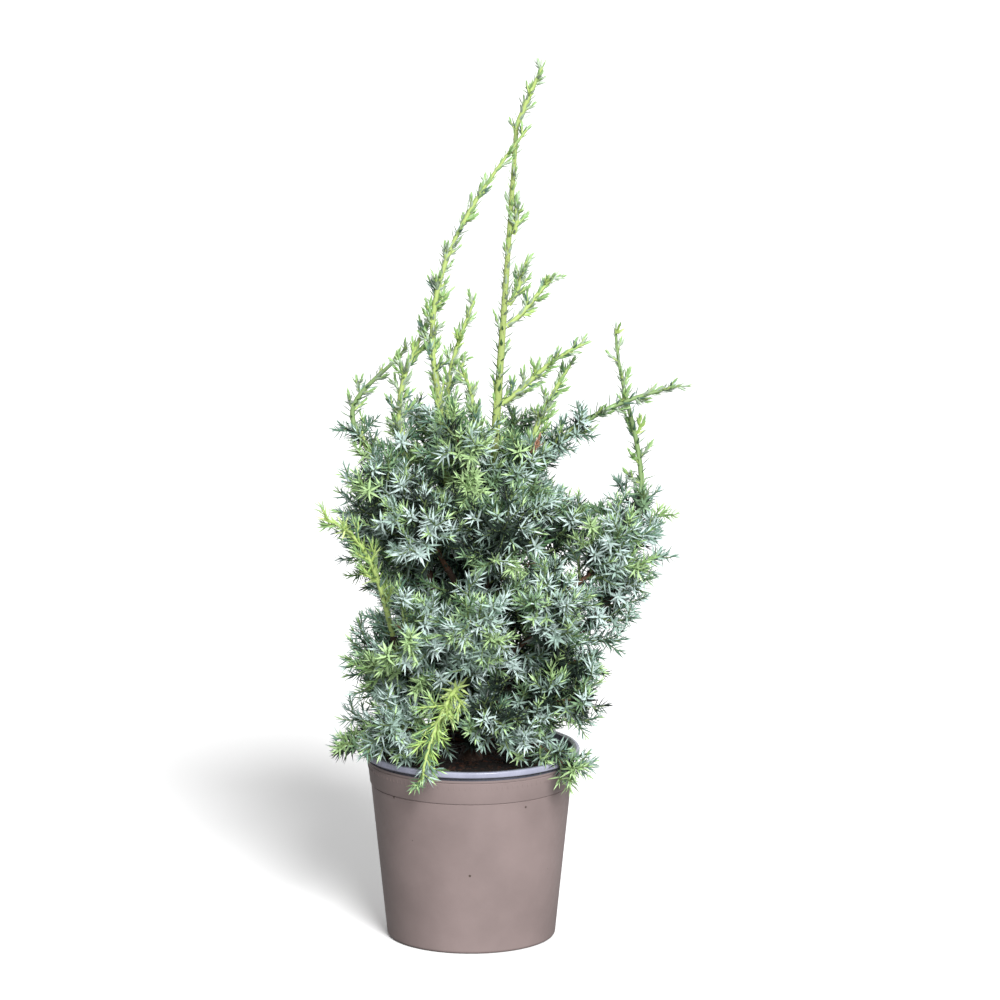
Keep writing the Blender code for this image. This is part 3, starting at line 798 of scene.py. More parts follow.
# Radii along a shoot, from its foot to its tip
STEM_GIRTH = (1.6, 1.5, 1.0, 0.6)
TWIG_GIRTH = (1.0, 0.8, 0.4)
SPRIG_GIRTH = (0.6, 0.35)
SPRAY_GIRTH = (0.9, 0.7, 0.4)
SPRAY_SPRIG_GIRTH = (0.5, 0.35)
LEAD_BOUGH_GIRTH = (1.9, 1.8)
LEAD_STEM_GIRTH = (1.6, 1.6, 1.3, 0.8)
LEAD_TWIG_GIRTH = (0.9, 0.8, 0.5)
LEAD_SPRIG_GIRTH = (0.6, 0.4)
LEAD_SPRAY_GIRTH = (0.8, 0.7, 0.4)
TUFT_GIRTH = (0.7, 0.4)
DEAD_GIRTH = (0.8, 0.5)


@dataclass(frozen=True)
class Shoot:
    """A stem, twig or sprig: its path, radii, bark and the needles that clothe it."""

    path: Array
    girth: tuple[float, ...]
    wood: Wood
    tone: Tone
    tip_tone: Tone
    clad_from: float
    clothing: Clothing
    foot_tone: Tone | None = None

    def radius_at(self, shares: float | Array) -> Array:
        """The radius at a share of the path, or at each of many."""
        return np.interp(shares, np.linspace(0, 1, len(self.girth)), self.girth)


@dataclass
class Limbs:
    """The trunk and boughs: the frame's own rule for their paths and radii."""

    gap: float = 0.3
    trunk_foot: float = 108.1
    lean: float = 27.0
    sway: float = 0.5
    depth_sway: float = 2.5
    radius: float = 5.0
    facets: int = 8
    tip_radius: float = 1.3
    taper: float = 1.5
    flare_radius: float = 2.4
    flare_height: float = 5.0
    bough_share: float = 0.6
    bough_tip_radius: float = 1.8
    bough_points: int = 24
    stem_radius: float = 1.5
    stem_points: int = 25

    def trunk_at(self, height: float) -> tuple[Array, float]:
        """The trunk's axis and radius at a height.

        Args:
            height: above the ground.

        Returns:
            The axis's place, and the radius with the root flare.
        """
        share = (height - self.trunk_foot) / (TRUNK_TIP - self.trunk_foot)
        axis = np.array(
            (
                self.lean * share + self.sway * math.sin(math.pi * share),
                self.depth_sway * math.sin(2 * math.pi * share),
                height,
            )
        )
        left = max(0.0, 1 - share) ** self.taper
        radius = self.tip_radius + (self.radius - self.tip_radius) * left
        flare = self.flare_radius * math.exp((self.trunk_foot - height) / self.flare_height)
        return axis, radius + flare

    def off_trunk(self, height: float, heading: Array, radius: float) -> Array:
        """Where a limb of this radius starts, clear of the trunk's bark.

        Args:
            height: where its line meets the axis.
            heading: its direction.
            radius: its radius at the foot.

        Returns:
            The middle of its foot.
        """
        axis, bark = self.trunk_at(height)
        facet = 2 * math.pi / self.facets
        turn = math.atan2(heading[1], heading[0])
        bark *= math.cos(turn - facet * round(turn / facet))
        ahead = unit(self.trunk_at(height + 1)[0] - axis)
        slope = abs(float(np.dot(heading, ahead)))
        level = math.sqrt(1 - slope * slope)
        return axis + heading * (bark + self.gap + radius * slope) / level

    def paths(self, branch: Branch) -> tuple[Array | None, Array]:
        """The centre lines of a branch's bough, or None, and of its mass's stem.

        Args:
            branch: the branch.

        Returns:
            Both lines, one point a row.
        """
        tip = np.array(branch.tip, float)
        axis, bark = self.trunk_at(branch.foot)
        if branch.fork is None:
            leaving = sloped(tip - axis, branch.rise)
            start = axis + UP * (self.gap + self.stem_radius * math.cos(math.radians(branch.rise)))
            if branch.foot < TRUNK_TIP:
                start = self.off_trunk(branch.foot, leaving, self.stem_radius)
            arriving = sloped(tip - axis, branch.turn)
            return None, bent_path(start, leaving, tip, arriving, self.stem_points)
        fork = np.array(branch.fork, float)
        leaving = sloped(fork - axis, branch.rise)
        start = self.off_trunk(branch.foot, leaving, bark * self.bough_share)
        entering = sloped(fork - axis, branch.bend)
        bough = bent_path(start, leaving, fork, entering, self.bough_points)
        onward = unit(fork - bough[-2])
        arriving = sloped(tip - fork, branch.turn)
        return bough, bent_path(fork + onward * self.gap, onward, tip, arriving, self.stem_points)


@dataclass
class PotShape:
    """The pot's named sizes, as the frame has them."""

    height: float = 115.0
    rim_radius: float = 65.0
    top_radius: float = 62.8
    base_radius: float = 51.0
    wall: float = 1.6
    floor: float = 2.2
    foot_round: float = 2.0
    lip_height: float = 3.6
    collar_drop: float = 7.6
    groove_drop: float = 20.6
    groove_step: float = 0.6
    drain_holes: int = 6
    drain_radius: float = 3.6
    drain_ring: float = 34.0
    soil_drop: float = 9.0
    soil_heap: float = 1.8

    def wall_radius(self, height: float) -> float:
        """The outer radius at a height, along the taper."""
        return self.base_radius + (self.top_radius - self.base_radius) * height / self.height

    def inner_radius(self, height: float) -> float:
        """The inner radius at a height."""
        return self.wall_radius(height) - self.groove_step - self.wall

    def touched(self, points: Array, margin: float) -> bool:
        """True if a point is in the pot or its soil, or within a margin of them.

        Args:
            points: one a row.
            margin: how near is too near.

        Returns:
            True if any point is too near.
        """
        radius = np.hypot(points[:, 0], points[:, 1])
        under_lip = points[:, 2] < self.height + margin
        inner = self.inner_radius(self.height)
        in_wall = (radius > inner - margin) & (radius < self.rim_radius + margin)
        soil = self.height - self.soil_drop + self.soil_heap + margin
        in_soil = (radius < self.rim_radius) & (points[:, 2] < soil)
        return bool(((under_lip & in_wall) | in_soil).any())


@dataclass
class Foliage:
    """Grows the stems, twigs and sprigs of every mass.

    Side shoots are drawn from the ranges, as shares of the size beside them. hollow is the
    middle of the dark hollow in the crown's front, across and up, as the camera's height shows
    it: hollow_slope turns depth into height. thicket is the stretch of the trunk, just above
    the crown, that gets upright sprays. spine holds points along every mass's stem, and owner
    the name of each point's mass.
    """

    limbs: Limbs
    pot: PotShape
    # Twigs along a mass's stem
    twig_open: float = math.radians(52)
    twig_onward: float = 0.4
    twig_lift: float = 0.35
    twig_shortening: float = 0.55
    twig_sink: float = 0.4
    top_twig: float = 0.97
    length_range: Range = (0.85, 1.12)
    twig_points: int = 9
    reach_on: float = 7.0
    between_length: float = 0.9
    between_openings: Range = (0.75, 1.2)
    between_top: float = 0.99
    between_more: tuple[int, int] = (1, 5)
    bare_share: float = 0.6
    overlap: float = 9.0
    spine_step: float = 4.0
    stem_back: float = 1.2
    crown_feet: Range = (0.15, 0.18)
    # Sprigs along a twig
    sprig_step: float = 6.0
    sprig_open: float = math.radians(50)
    sprig_share: float = 0.6
    sprig_least: float = 7.0
    sprig_points: int = 6
    sprig_range: Range = (0.8, 1.15)
    sprig_shortening: float = 0.5
    sprig_span: Range = (0.16, 0.78)
    slender_sprigs: Range = (1.5, 0.8)
    # Sprays along a bough
    bough_bare: float = 0.22
    bough_step: float = 4.6
    bough_spray: float = 25.0
    bough_openings: Range = (0.8, 1.4)
    bough_lengths: Range = (0.7, 1.15)
    bough_feet: Range = (0.12, 0.18)
    crown_top: float = 322.0
    # Old sprays inside the crown
    inner_low: float = 116.0
    inner_high: float = 275.0
    inner_step: float = 3.4
    inner_spray: float = 30.0
    inner_openings: Range = (55, 88)
    inner_lengths: Range = (0.7, 1.2)
    inner_tones: tuple[int, int, int] = (84, 3, 13)
    inner_feet: Range = (0.3, 0.2)
    # Shoots above the crown
    lead_reach: float = 0.85
    lead_from: float = 283.0
    lead_top: float = 350.0
    lead_spray: float = 13.0
    lead_step: float = 8.5
    lead_openings: Range = (0.5, 0.9)
    lead_lengths: Range = (0.6, 1.15)
    lead_foot: float = 0.03
    lead_feet: Range = (0.12, 0.2)
    lead_spray_foot: float = 0.1
    lead_clad: float = 0.75
    low_spray: float = 26.0
    low_until: float = 263.0
    stem_openings: Range = (0.6, 1.0)
    stem_lengths: Range = (0.7, 1.1)
    stem_crowding: float = 1.5
    stem_shortening: float = 0.75
    sparse_close: float = 0.7
    thicket: Range = (284.0, 336.0)
    leader_low: float = 300.0
    leader_points: int = 60
    tuft_low: float = 338.0
    tuft_step: float = 15.0
    tuft_length: float = 9.0
    tuft_lengths: Range = (0.7, 1.3)
    tuft_foot: float = 0.25
    dead_mass: str = "right_top"
    dead_from: float = 0.95
    dead_end: Place = (40.0, -33.0, 309.5)
    # How the tones fall, with the painted shade near the feet of twigs and sprigs
    deep_share: float = 0.85
    deep_reach: float = 0.42
    fresh_share: float = 0.5
    own_share: float = 0.6
    limy_low: float = 134.0
    # What is kept clear
    pot_margin: float = 1.6
    shown_mass: str = "left_low_shoot"
    shown_margin: float = 7.0
    hollow: Range = (-12.5, 223.6)
    hollow_size: Range = (12.0, 8.5)
    hollow_front: float = -22.0
    hollow_slope: float = 0.2126
    # Found by grow
    spine: Array = field(init=False, repr=False)
    owner: Array = field(init=False, repr=False)

    def grow(self) -> dict[str, list[Shoot]]:
        """Every shoot of the plant, by the name of its branch."""
        stems = {branch.name: self.limbs.paths(branch)[1] for branch in BRANCHES}
        spines = [resampled(stem, self.spine_step) for stem in stems.values()]
        self.spine = np.concatenate(spines)
        self.owner = np.concatenate([[name] * len(spine) for name, spine in zip(stems, spines)])
        return {branch.name: list(self.mass(branch, stems[branch.name])) for branch in BRANCHES}

    def clear(self, path: Array) -> bool:
        """True if a twig keeps off the pot, and out of the dark hollow in the crown's front.

        Args:
            path: the twig's points.

        Returns:
            True if none is in the way.
        """
        level = path[:, 2] + self.hollow_slope * path[:, 1]
        aside = (path[:, 0] - self.hollow[0]) / self.hollow_size[0]
        above = (level - self.hollow[1]) / self.hollow_size[1]
        inside = (np.hypot(aside, above) < 1) & (path[:, 1] < self.hollow_front)
        return not inside.any() and not self.pot.touched(path[2:], self.pot_margin)

    def holds(self, path: Array, mass: str) -> bool:
        """True if a twig keeps to its mass's space, with a little overlap, and off the pot.

        Args:
            path: the twig's points.
            mass: the name of its mass.

        Returns:
            True if it may stay.
        """
        away = np.linalg.norm(path[2:, None] - self.spine[None], axis=2)
        own = away[:, self.owner == mass].min(axis=1)
        others = away[:, self.owner != mass].min(axis=1)
        hides = mass != self.shown_mass and self.hides(path)
        return self.clear(path) and not hides and not bool((own > others + self.overlap).any())

    def hides(self, path: Array) -> bool:
        """True if a twig covers, from the front, the stem of the yellow-green shoot on the left."""
        shown = self.spine[self.owner == self.shown_mass]
        level = path[:, 2] + self.hollow_slope * path[:, 1]
        shown_level = shown[:, 2] + self.hollow_slope * shown[:, 1]
        apart = np.hypot(path[:, None, 0] - shown[:, 0], level[:, None] - shown_level)
        before = path[:, None, 1] < shown[:, 1]
        return bool(((apart < self.shown_margin) & before).any())

    def mass(self, branch: Branch, stem: Array) -> Iterator[Shoot]:
        """The shoots of one mass: its stem, its twigs and their sprigs, and those on its bough.

        Args:
            branch: the branch whose mass it is.
            stem: the path of its stem.

        Yields:
            Each shoot, from the stem on.
        """
        main = random.Random(f"{SEED} {branch.name}")
        draw = random.Random(f"{SEED} {branch.name} finer")
        yield self.stem(branch, stem, draw)
        if branch.name == self.dead_mass:
            yield self.dead_tip(stem)
        twigs = [*self.main_twigs(branch, stem, main), *self.between_twigs(branch, stem, draw)]
        if branch.mood is Mood.LEADING and branch.foot < self.lead_top and not branch.sparse:
            twigs += self.stem_sprays(stem, draw)
        for twig in twigs:
            if not self.holds(twig, branch.name):
                continue
            tone = self.dealt(branch.mood, draw)
            if branch.mood is Mood.LIMY and twig[0][2] < self.limy_low:
                tone = self.dealt(Mood.GREENISH, draw)
            yield self.twig(branch, twig, tone, draw)
            deep = self.deep_reach * path_length(twig)
            for sprig in self.sprigs(twig, draw, branch.leads):
                if self.holds(sprig, branch.name):
                    inner = not branch.leads and np.linalg.norm(sprig[0] - twig[0]) < deep
                    own = self.shaded(branch, tone, draw) if inner else tone
                    yield self.sprig(branch, sprig, own, draw)
        bough, _ = self.limbs.paths(branch)
        if bough is not None:
            yield from self.bough_sprays(branch, bough, draw)

    def bough_sprays(self, branch: Branch, bough: Array, draw: random.Random) -> Iterator[Shoot]:
        """Leafy twigs along a bough, where it runs through the crown.

        Args:
            branch: the branch whose mass it is.
            bough: the bough's path.
            draw: where the draws come from.

        Yields:
            Each shoot.
        """
        step = self.bough_step * (self.sparse_close if branch.sparse else 1.0)
        count = int(path_length(bough) * (1 - self.bough_bare) / step)
        phase = draw.uniform(0, 2 * math.pi)
        mood = Mood.LIVELY if branch.leads else branch.mood
        risen = bough[bough[:, 2] > self.lead_from]
        if branch.leads and len(risen) > 2:
            tone = Tone.GREEN if branch.mood is Mood.LEADING else Tone.LIME
            wood, clothing = Wood.YOUNG_STEM, UPRIGHT_CLOTHING
            if branch.sparse:
                wood, clothing = Wood.GREEN_STEM, SPIKY_CLOTHING
            yield Shoot(risen, LEAD_BOUGH_GIRTH, wood, tone, Tone.LEADER, 0.0, clothing)
            yield from self.lead_sprays(risen, branch, draw)
        for k in range(count):
            share = self.bough_bare + (1 - self.bough_bare) * (k + 0.5) / count
            opening = self.twig_open * draw.uniform(*self.bough_openings)
            length = self.bough_spray
            if branch.leads:
                low = point_on(bough, share)[0][2] < self.low_until
                length = self.low_spray if low else self.lead_spray
            length *= draw.uniform(*self.bough_lengths)
            twig = self.offshoot(bough, share, phase + GOLDEN_ANGLE * k, opening, length)
            tone = self.dealt(mood, draw)
            if not self.hides(twig) and twig[-1][2] < self.crown_top:
                looks = (Wood.OLIVE_TWIG, tone, self.bough_feet, CROWN_CLOTHING)
                yield from self.spray(twig, *looks, draw, branch)

    def spray(
        self,
        twig: Array,
        wood: Wood,
        tone: Tone,
        feet: tuple[float, float],
        clothing: Clothing,
        draw: random.Random,
        branch: Branch | None = None,
    ) -> Iterator[Shoot]:
        """A twig of one tone with its sprigs, as far as they keep clear.

        Args:
            twig: its path.
            wood: the bark of all its shoots.
            tone: the tone of all its needles.
            feet: where the needles begin on the twig and on its sprigs.
            clothing: how they sit.
            draw: where its sprigs' draws come from.
            branch: the branch by whose rule its foot is shaded, or None for no shade.

        Yields:
            The twig, then its sprigs.
        """
        if not self.clear(twig):
            return
        foot = self.shaded(branch, tone, draw) if branch else None
        yield Shoot(twig, SPRAY_GIRTH, wood, tone, tone, feet[0], clothing, foot)
        for sprig in self.sprigs(twig, draw, False):
            if self.clear(sprig):
                yield Shoot(sprig, SPRAY_SPRIG_GIRTH, wood, tone, tone, feet[1], clothing)

    def lead_sprays(self, bough: Array, branch: Branch, draw: random.Random) -> Iterator[Shoot]:
        """Short upright sprays that thicken the feet of the leads, just above the crown.

        Args:
            bough: the path that carries them.
            branch: the branch whose mass it is.
            draw: where the draws come from.

        Yields:
            Each spray.
        """
        count = int(path_length(bough) / (self.sprig_step * (2 if branch.sparse else 1)))
        for k in range(count):
            opening = self.sprig_open * draw.uniform(*self.lead_openings)
            length = self.lead_spray * draw.uniform(*self.lead_lengths)
            twig = self.offshoot(bough, (k + 0.5) / count, GOLDEN_ANGLE * k, opening, length)
            if twig[-1][2] < self.lead_top:
                looks = (Wood.YOUNG_STEM, self.dealt(branch.mood, draw), Tone.FRESH)
                yield Shoot(twig, LEAD_SPRAY_GIRTH, *looks, self.lead_spray_foot, UPRIGHT_CLOTHING)

    def stem_sprays(self, stem: Array, draw: random.Random) -> Iterator[Array]:
        """Sprays up a lead's stem, close and long at its foot, few and short higher up.

        Args:
            stem: the stem's path.
            draw: where the draws come from.

        Yields:
            The path of each spray.
        """
        count = int(path_length(stem) / self.lead_step)
        phase = draw.uniform(0, 2 * math.pi)
        for k in range(count):
            share = self.lead_clad * ((k + 0.5) / count) ** self.stem_crowding
            length = self.lead_spray * (1 - self.stem_shortening * share)
            length *= draw.uniform(*self.stem_lengths)
            opening = self.sprig_open * draw.uniform(*self.stem_openings)
            yield self.offshoot(stem, share, phase + GOLDEN_ANGLE * k, opening, length)

    def dead_tip(self, stem: Array) -> Shoot:
        """The one dry brown tip, at the crown's upper right."""
        place, heading = point_on(stem, self.dead_from)
        path = bent_path(place, heading, np.array(self.dead_end), UP, self.sprig_points)
        looks = (Wood.BROWN_TWIG, Tone.BROWN, Tone.BROWN)
        return Shoot(path, DEAD_GIRTH, *looks, self.tuft_foot, TUFT_CLOTHING)

    def trunk_path(self, heights: Array) -> Array:
        """The trunk's axis at each height."""
        return np.array([self.limbs.trunk_at(height)[0] for height in heights])

    def inner_sprays(self) -> Iterator[Shoot]:
        """Shaded old sprays close round the trunk, inside the crown."""
        draw = random.Random(f"{SEED} inside")
        trunk = self.trunk_path(np.arange(self.inner_low, self.inner_high, self.inner_step))
        for k in range(len(trunk) - 1):
            opening = math.radians(draw.uniform(*self.inner_openings))
            length = self.inner_spray * draw.uniform(*self.inner_lengths)
            twig = self.offshoot(trunk, k / (len(trunk) - 1), GOLDEN_ANGLE * k, opening, length)
            tone = draw.choices((Tone.DEEP, Tone.BROWN, Tone.GREEN), self.inner_tones)[0]
            looks = (Wood.BROWN_TWIG, tone, self.inner_feet, INNER_CLOTHING)
            yield from self.spray(twig, *looks, draw)

    def leader(self) -> Iterator[Shoot]:
        """The trunk's own green top: sparse needles on it, and short tight tufts."""
        draw = random.Random(f"{SEED} leader")
        heights = np.linspace(self.leader_low, TRUNK_TIP, self.leader_points)
        path = self.trunk_path(heights)
        radii = tuple(self.limbs.trunk_at(height)[1] for height in heights)
        looks = (Wood.YOUNG_STEM, Tone.LEADER, Tone.FRESH)
        yield Shoot(path, radii, *looks, 0.0, LEADER_CLOTHING, Tone.GREEN)
        foot = self.trunk_path(np.arange(*self.thicket, self.spine_step))
        yield from self.lead_sprays(foot, BRANCHES[0], draw)
        for k, height in enumerate(np.arange(self.tuft_low, TRUNK_TIP, self.tuft_step)):
            share = (height - self.leader_low) / (TRUNK_TIP - self.leader_low)
            length = self.tuft_length * draw.uniform(*self.tuft_lengths)
            opening = self.sprig_open * draw.uniform(*self.stem_openings)
            tuft = self.offshoot(path, share, GOLDEN_ANGLE * k, opening, length, self.sprig_points)
            yield Shoot(tuft, TUFT_GIRTH, *looks, self.tuft_foot, TUFT_CLOTHING)

    def shaded(self, branch: Branch, tone: Tone, draw: random.Random) -> Tone:
        """The darker tone that a spray gets nearer the crown's inside, as painted shade."""
        if draw.random() < DEEP_SHARES.get(branch.mood, self.deep_share):
            return Tone.DEEP
        return Tone.BLUE_GREEN if tone is Tone.SILVER else Tone.GREEN

    def dealt(self, mood: Mood, draw: random.Random) -> Tone:
        """A tone dealt to a spray by a mood."""
        return draw.choices(TONES, mood.value)[0]

    def stem(self, branch: Branch, stem: Array, draw: random.Random) -> Shoot:
        """The stem that runs through a mass.

        Args:
            branch: the branch whose mass it is.
            stem: its path.
            draw: where the draws come from.

        Returns:
            The stem, begun a little further back.
        """
        back = stem[0] - unit(stem[1] - stem[0]) * self.stem_back
        path = np.concatenate((back[None], stem))
        if branch.mood is Mood.LIMY:
            foot, tone, tip = Tone.LIME, Tone.LIME, Tone.GREEN
            if branch.tip[2] > self.limy_low:
                foot, tone, tip = Tone.SILVER, Tone.FRESH, Tone.LIME
            looks = (Wood.YOUNG_STEM, tone, tip, self.lead_foot, LIMY_STEM_CLOTHING, foot)
        elif branch.sparse:
            tones = (Tone.BLUE_GREEN, Tone.LEADER)
            looks = (Wood.GREEN_STEM, *tones, self.lead_foot, SPIKY_CLOTHING, Tone.GREEN)
        elif branch.leads:
            clothing = LEADER_CLOTHING if branch.name == "left_leader" else UPRIGHT_CLOTHING
            looks = (Wood.YOUNG_STEM, Tone.LEADER, Tone.FRESH, self.lead_foot, clothing)
        else:
            tone = self.dealt(branch.mood, draw)
            bare = branch.bare * self.bare_share
            # A crown stem's foot takes the dark tone as painted shade inside its mass.
            looks = (Wood.BROWN_TWIG, tone, tone, bare, STEM_CLOTHING, Tone.DEEP)
            return Shoot(path, STEM_GIRTH, *looks)
        return Shoot(path, LEAD_STEM_GIRTH, *looks)

    def twig(self, branch: Branch, path: Array, tone: Tone, draw: random.Random) -> Shoot:
        """A twig with its needles.

        Args:
            branch: the branch whose mass it is.
            path: its points.
            tone: the tone of its middle.
            draw: where the draws come from.

        Returns:
            The twig.
        """
        if branch.leads:
            looks = (Wood.YOUNG_STEM, tone, Tone.FRESH, self.lead_feet[0], branch.lead_clothing)
            return Shoot(path, LEAD_TWIG_GIRTH, *looks)
        tip = Tone.FRESH if draw.random() < self.fresh_share else tone
        foot = self.shaded(branch, tone, draw)
        looks = (Wood.OLIVE_TWIG, tone, tip, self.crown_feet[0], CROWN_CLOTHING, foot)
        return Shoot(path, TWIG_GIRTH, *looks)

    def sprig(self, branch: Branch, path: Array, tone: Tone, draw: random.Random) -> Shoot:
        """A sprig with its needles.

        Args:
            branch: the branch whose mass it is.
            path: its points.
            tone: the tone that its twig gives it.
            draw: where the draws come from.

        Returns:
            The sprig.
        """
        if branch.leads:
            looks = (Wood.YOUNG_STEM, tone, Tone.FRESH, self.lead_feet[1], branch.lead_clothing)
            return Shoot(path, LEAD_SPRIG_GIRTH, *looks)
        own = tone if draw.random() < self.own_share else self.dealt(branch.mood, draw)
        tip = Tone.FRESH if own is not Tone.DEEP and draw.random() < self.fresh_share else own
        looks = (Wood.OLIVE_TWIG, own, tip, self.crown_feet[1], CROWN_CLOTHING)
        return Shoot(path, SPRIG_GIRTH, *looks)

    def offshoot(
        self, path: Array, share: float, turn: float, opening: float, length: float, points: int = 0
    ) -> Array:
        """A side shoot that bends on and up to the light.

        Args:
            path: the shoot that carries it.
            share: where along that shoot it leaves.
            turn: its angle round that shoot.
            opening: its angle off that shoot.
            length: how far its tip lies from its foot.
            points: how many points its path gets, or 0 for a twig's.

        Returns:
            Its path.
        """
        place, heading = point_on(path, share)
        side, other = across(heading)
        outward = side * math.cos(turn) + other * math.sin(turn)
        leaving = unit(heading * math.cos(opening) + outward * math.sin(opening))
        arriving = unit(leaving + heading * self.twig_onward + UP * self.twig_lift)
        start = place - leaving * self.twig_sink
        end = place + unit(leaving + arriving) * length
        return bent_path(start, leaving, end, arriving, points or self.twig_points)

    def main_twigs(self, branch: Branch, stem: Array, draw: random.Random) -> Iterator[Array]:
        """The frame's own twigs, at golden turns round the stem.

        Args:
            branch: the branch whose mass it is.
            stem: its stem's path.
            draw: where the draws come from.

        Yields:
            The path of each twig.
        """
        phase = draw.uniform(0, 2 * math.pi)
        kept, extra = (self.lead_reach, 0.0) if branch.leads else (1.0, self.reach_on)
        for k in range(branch.twigs):
            along = (k + 0.5) / branch.twigs
            share = branch.bare + (self.top_twig - branch.bare) * along
            length = branch.spread * (1 - self.twig_shortening * along)
            length = length * draw.uniform(*self.length_range) * kept + extra
            yield self.offshoot(stem, share, phase + GOLDEN_ANGLE * k, self.twig_open, length)

    def between_twigs(self, branch: Branch, stem: Array, draw: random.Random) -> Iterator[Array]:
        """Shorter twigs between the main ones, on the other side of the stem.

        Args:
            branch: the branch whose mass it is.
            stem: its stem's path.
            draw: where the draws come from.

        Yields:
            The path of each twig.
        """
        count = branch.twigs + self.between_more[0 if branch.leads else 1]
        bare = branch.bare * self.bare_share
        phase = draw.uniform(0, 2 * math.pi)
        for k in range(count):
            along = (k + 0.9) / count
            share = min(bare + (self.between_top - bare) * along, self.between_top)
            length = branch.spread * (1 - self.twig_shortening * along) * self.between_length
            length *= draw.uniform(*self.length_range)
            turn = phase + GOLDEN_ANGLE * (k + 0.5) + math.pi
            opening = self.twig_open * draw.uniform(*self.between_openings)
            yield self.offshoot(stem, share, turn, opening, length)

    def sprigs(self, twig: Array, draw: random.Random, slender: bool) -> Iterator[Array]:
        """Sprigs round a twig, longest at its foot, fewer and shorter on a slender shoot.

        Args:
            twig: the twig's path.
            draw: where the draws come from.
            slender: True on a leader.

        Yields:
            The path of each sprig.
        """
        reach = path_length(twig)
        step, least = self.sprig_step, self.sprig_least
        if slender:
            step, least = step * self.slender_sprigs[0], least * self.slender_sprigs[1]
        count = int(reach / step)
        phase = draw.uniform(0, 2 * math.pi)
        for k in range(count):
            along = (k + 0.5) / count
            length = self.sprig_share * reach * (1 - self.sprig_shortening * along)
            length = max(length * draw.uniform(*self.sprig_range), least)
            opening = self.sprig_open * draw.uniform(*self.sprig_range)
            share = self.sprig_span[0] + self.sprig_span[1] * along
            turn = phase + GOLDEN_ANGLE * k
            yield self.offshoot(twig, share, turn, opening, length, self.sprig_points)


@dataclass
class NeedleBed:
    """The needles of many shoots: where each one stands, points and looks.

    crooked and nodding are how far a needle strays round its shoot, in radians, and in its
    opening, in degrees. ripening is how late along a shoot its needles stay short. A row of
    rows is a needle's place, heading, keel, length, breadth and tone.
    """

    crooked: float = 0.35
    nodding: float = 14.0
    lengths: Range = (0.76, 1.12)
    ripening: float = 2.5
    rows: list[tuple[Array, Array, Array, float, float, int]] = field(default_factory=list)

    def clothe(self, shoot: Shoot, draw: random.Random) -> None:
        """Sets whorls of three needles along a shoot, each whorl turned from the last.

        Args:
            shoot: the shoot that carries them.
            draw: where the draws come from.
        """
        dress = shoot.clothing
        way = path_length(shoot.path) * (1 - shoot.clad_from)
        count = max(2, round(way / dress.step))
        phase = draw.uniform(0, 2 * math.pi)
        for k in range(count + 1):
            along = k / count
            share = shoot.clad_from + (1 - shoot.clad_from) * along
            place, heading = point_on(shoot.path, min(share, 1.0))
            side, other = across(heading)
            radius = float(shoot.radius_at(share))
            opening = dress.opening + (dress.closing - dress.opening) * along**dress.turning
            grown = dress.needle * (1 - (1 - dress.young) * along**self.ripening)
            tone = shoot.tip_tone if along > dress.fresh else shoot.tone
            if shoot.foot_tone and along < dress.dark:
                tone = shoot.foot_tone
            for turn in (0.0, 1.0, 2.0):
                angle = phase + (k / 2 + turn) * 2 * math.pi / 3
                angle += draw.uniform(-self.crooked, self.crooked)
                outward = side * math.cos(angle) + other * math.sin(angle)
                lean = math.radians(opening + draw.uniform(-self.nodding, self.nodding))
                foot = place + outward * radius * dress.sunk
                ahead = heading * math.cos(lean) + outward * math.sin(lean)
                keel = outward * math.cos(lean) - heading * math.sin(lean)
                length = grown * draw.uniform(*self.lengths)
                self.rows.append((foot, ahead, keel, length, dress.breadth, TONES.index(tone)))

    def mesh(self, name: str) -> Mesh:
        """The needles' feet as loose points, with what the needle tree reads."""
        feet, heading, keel, length, breadth, tone = map(np.array, zip(*self.rows))
        looks = {"heading": [heading], "keel": [keel], "breadth": [breadth], "tone": [tone]}
        return path_mesh(name, feet[:, None], length=[length * MM], **looks)


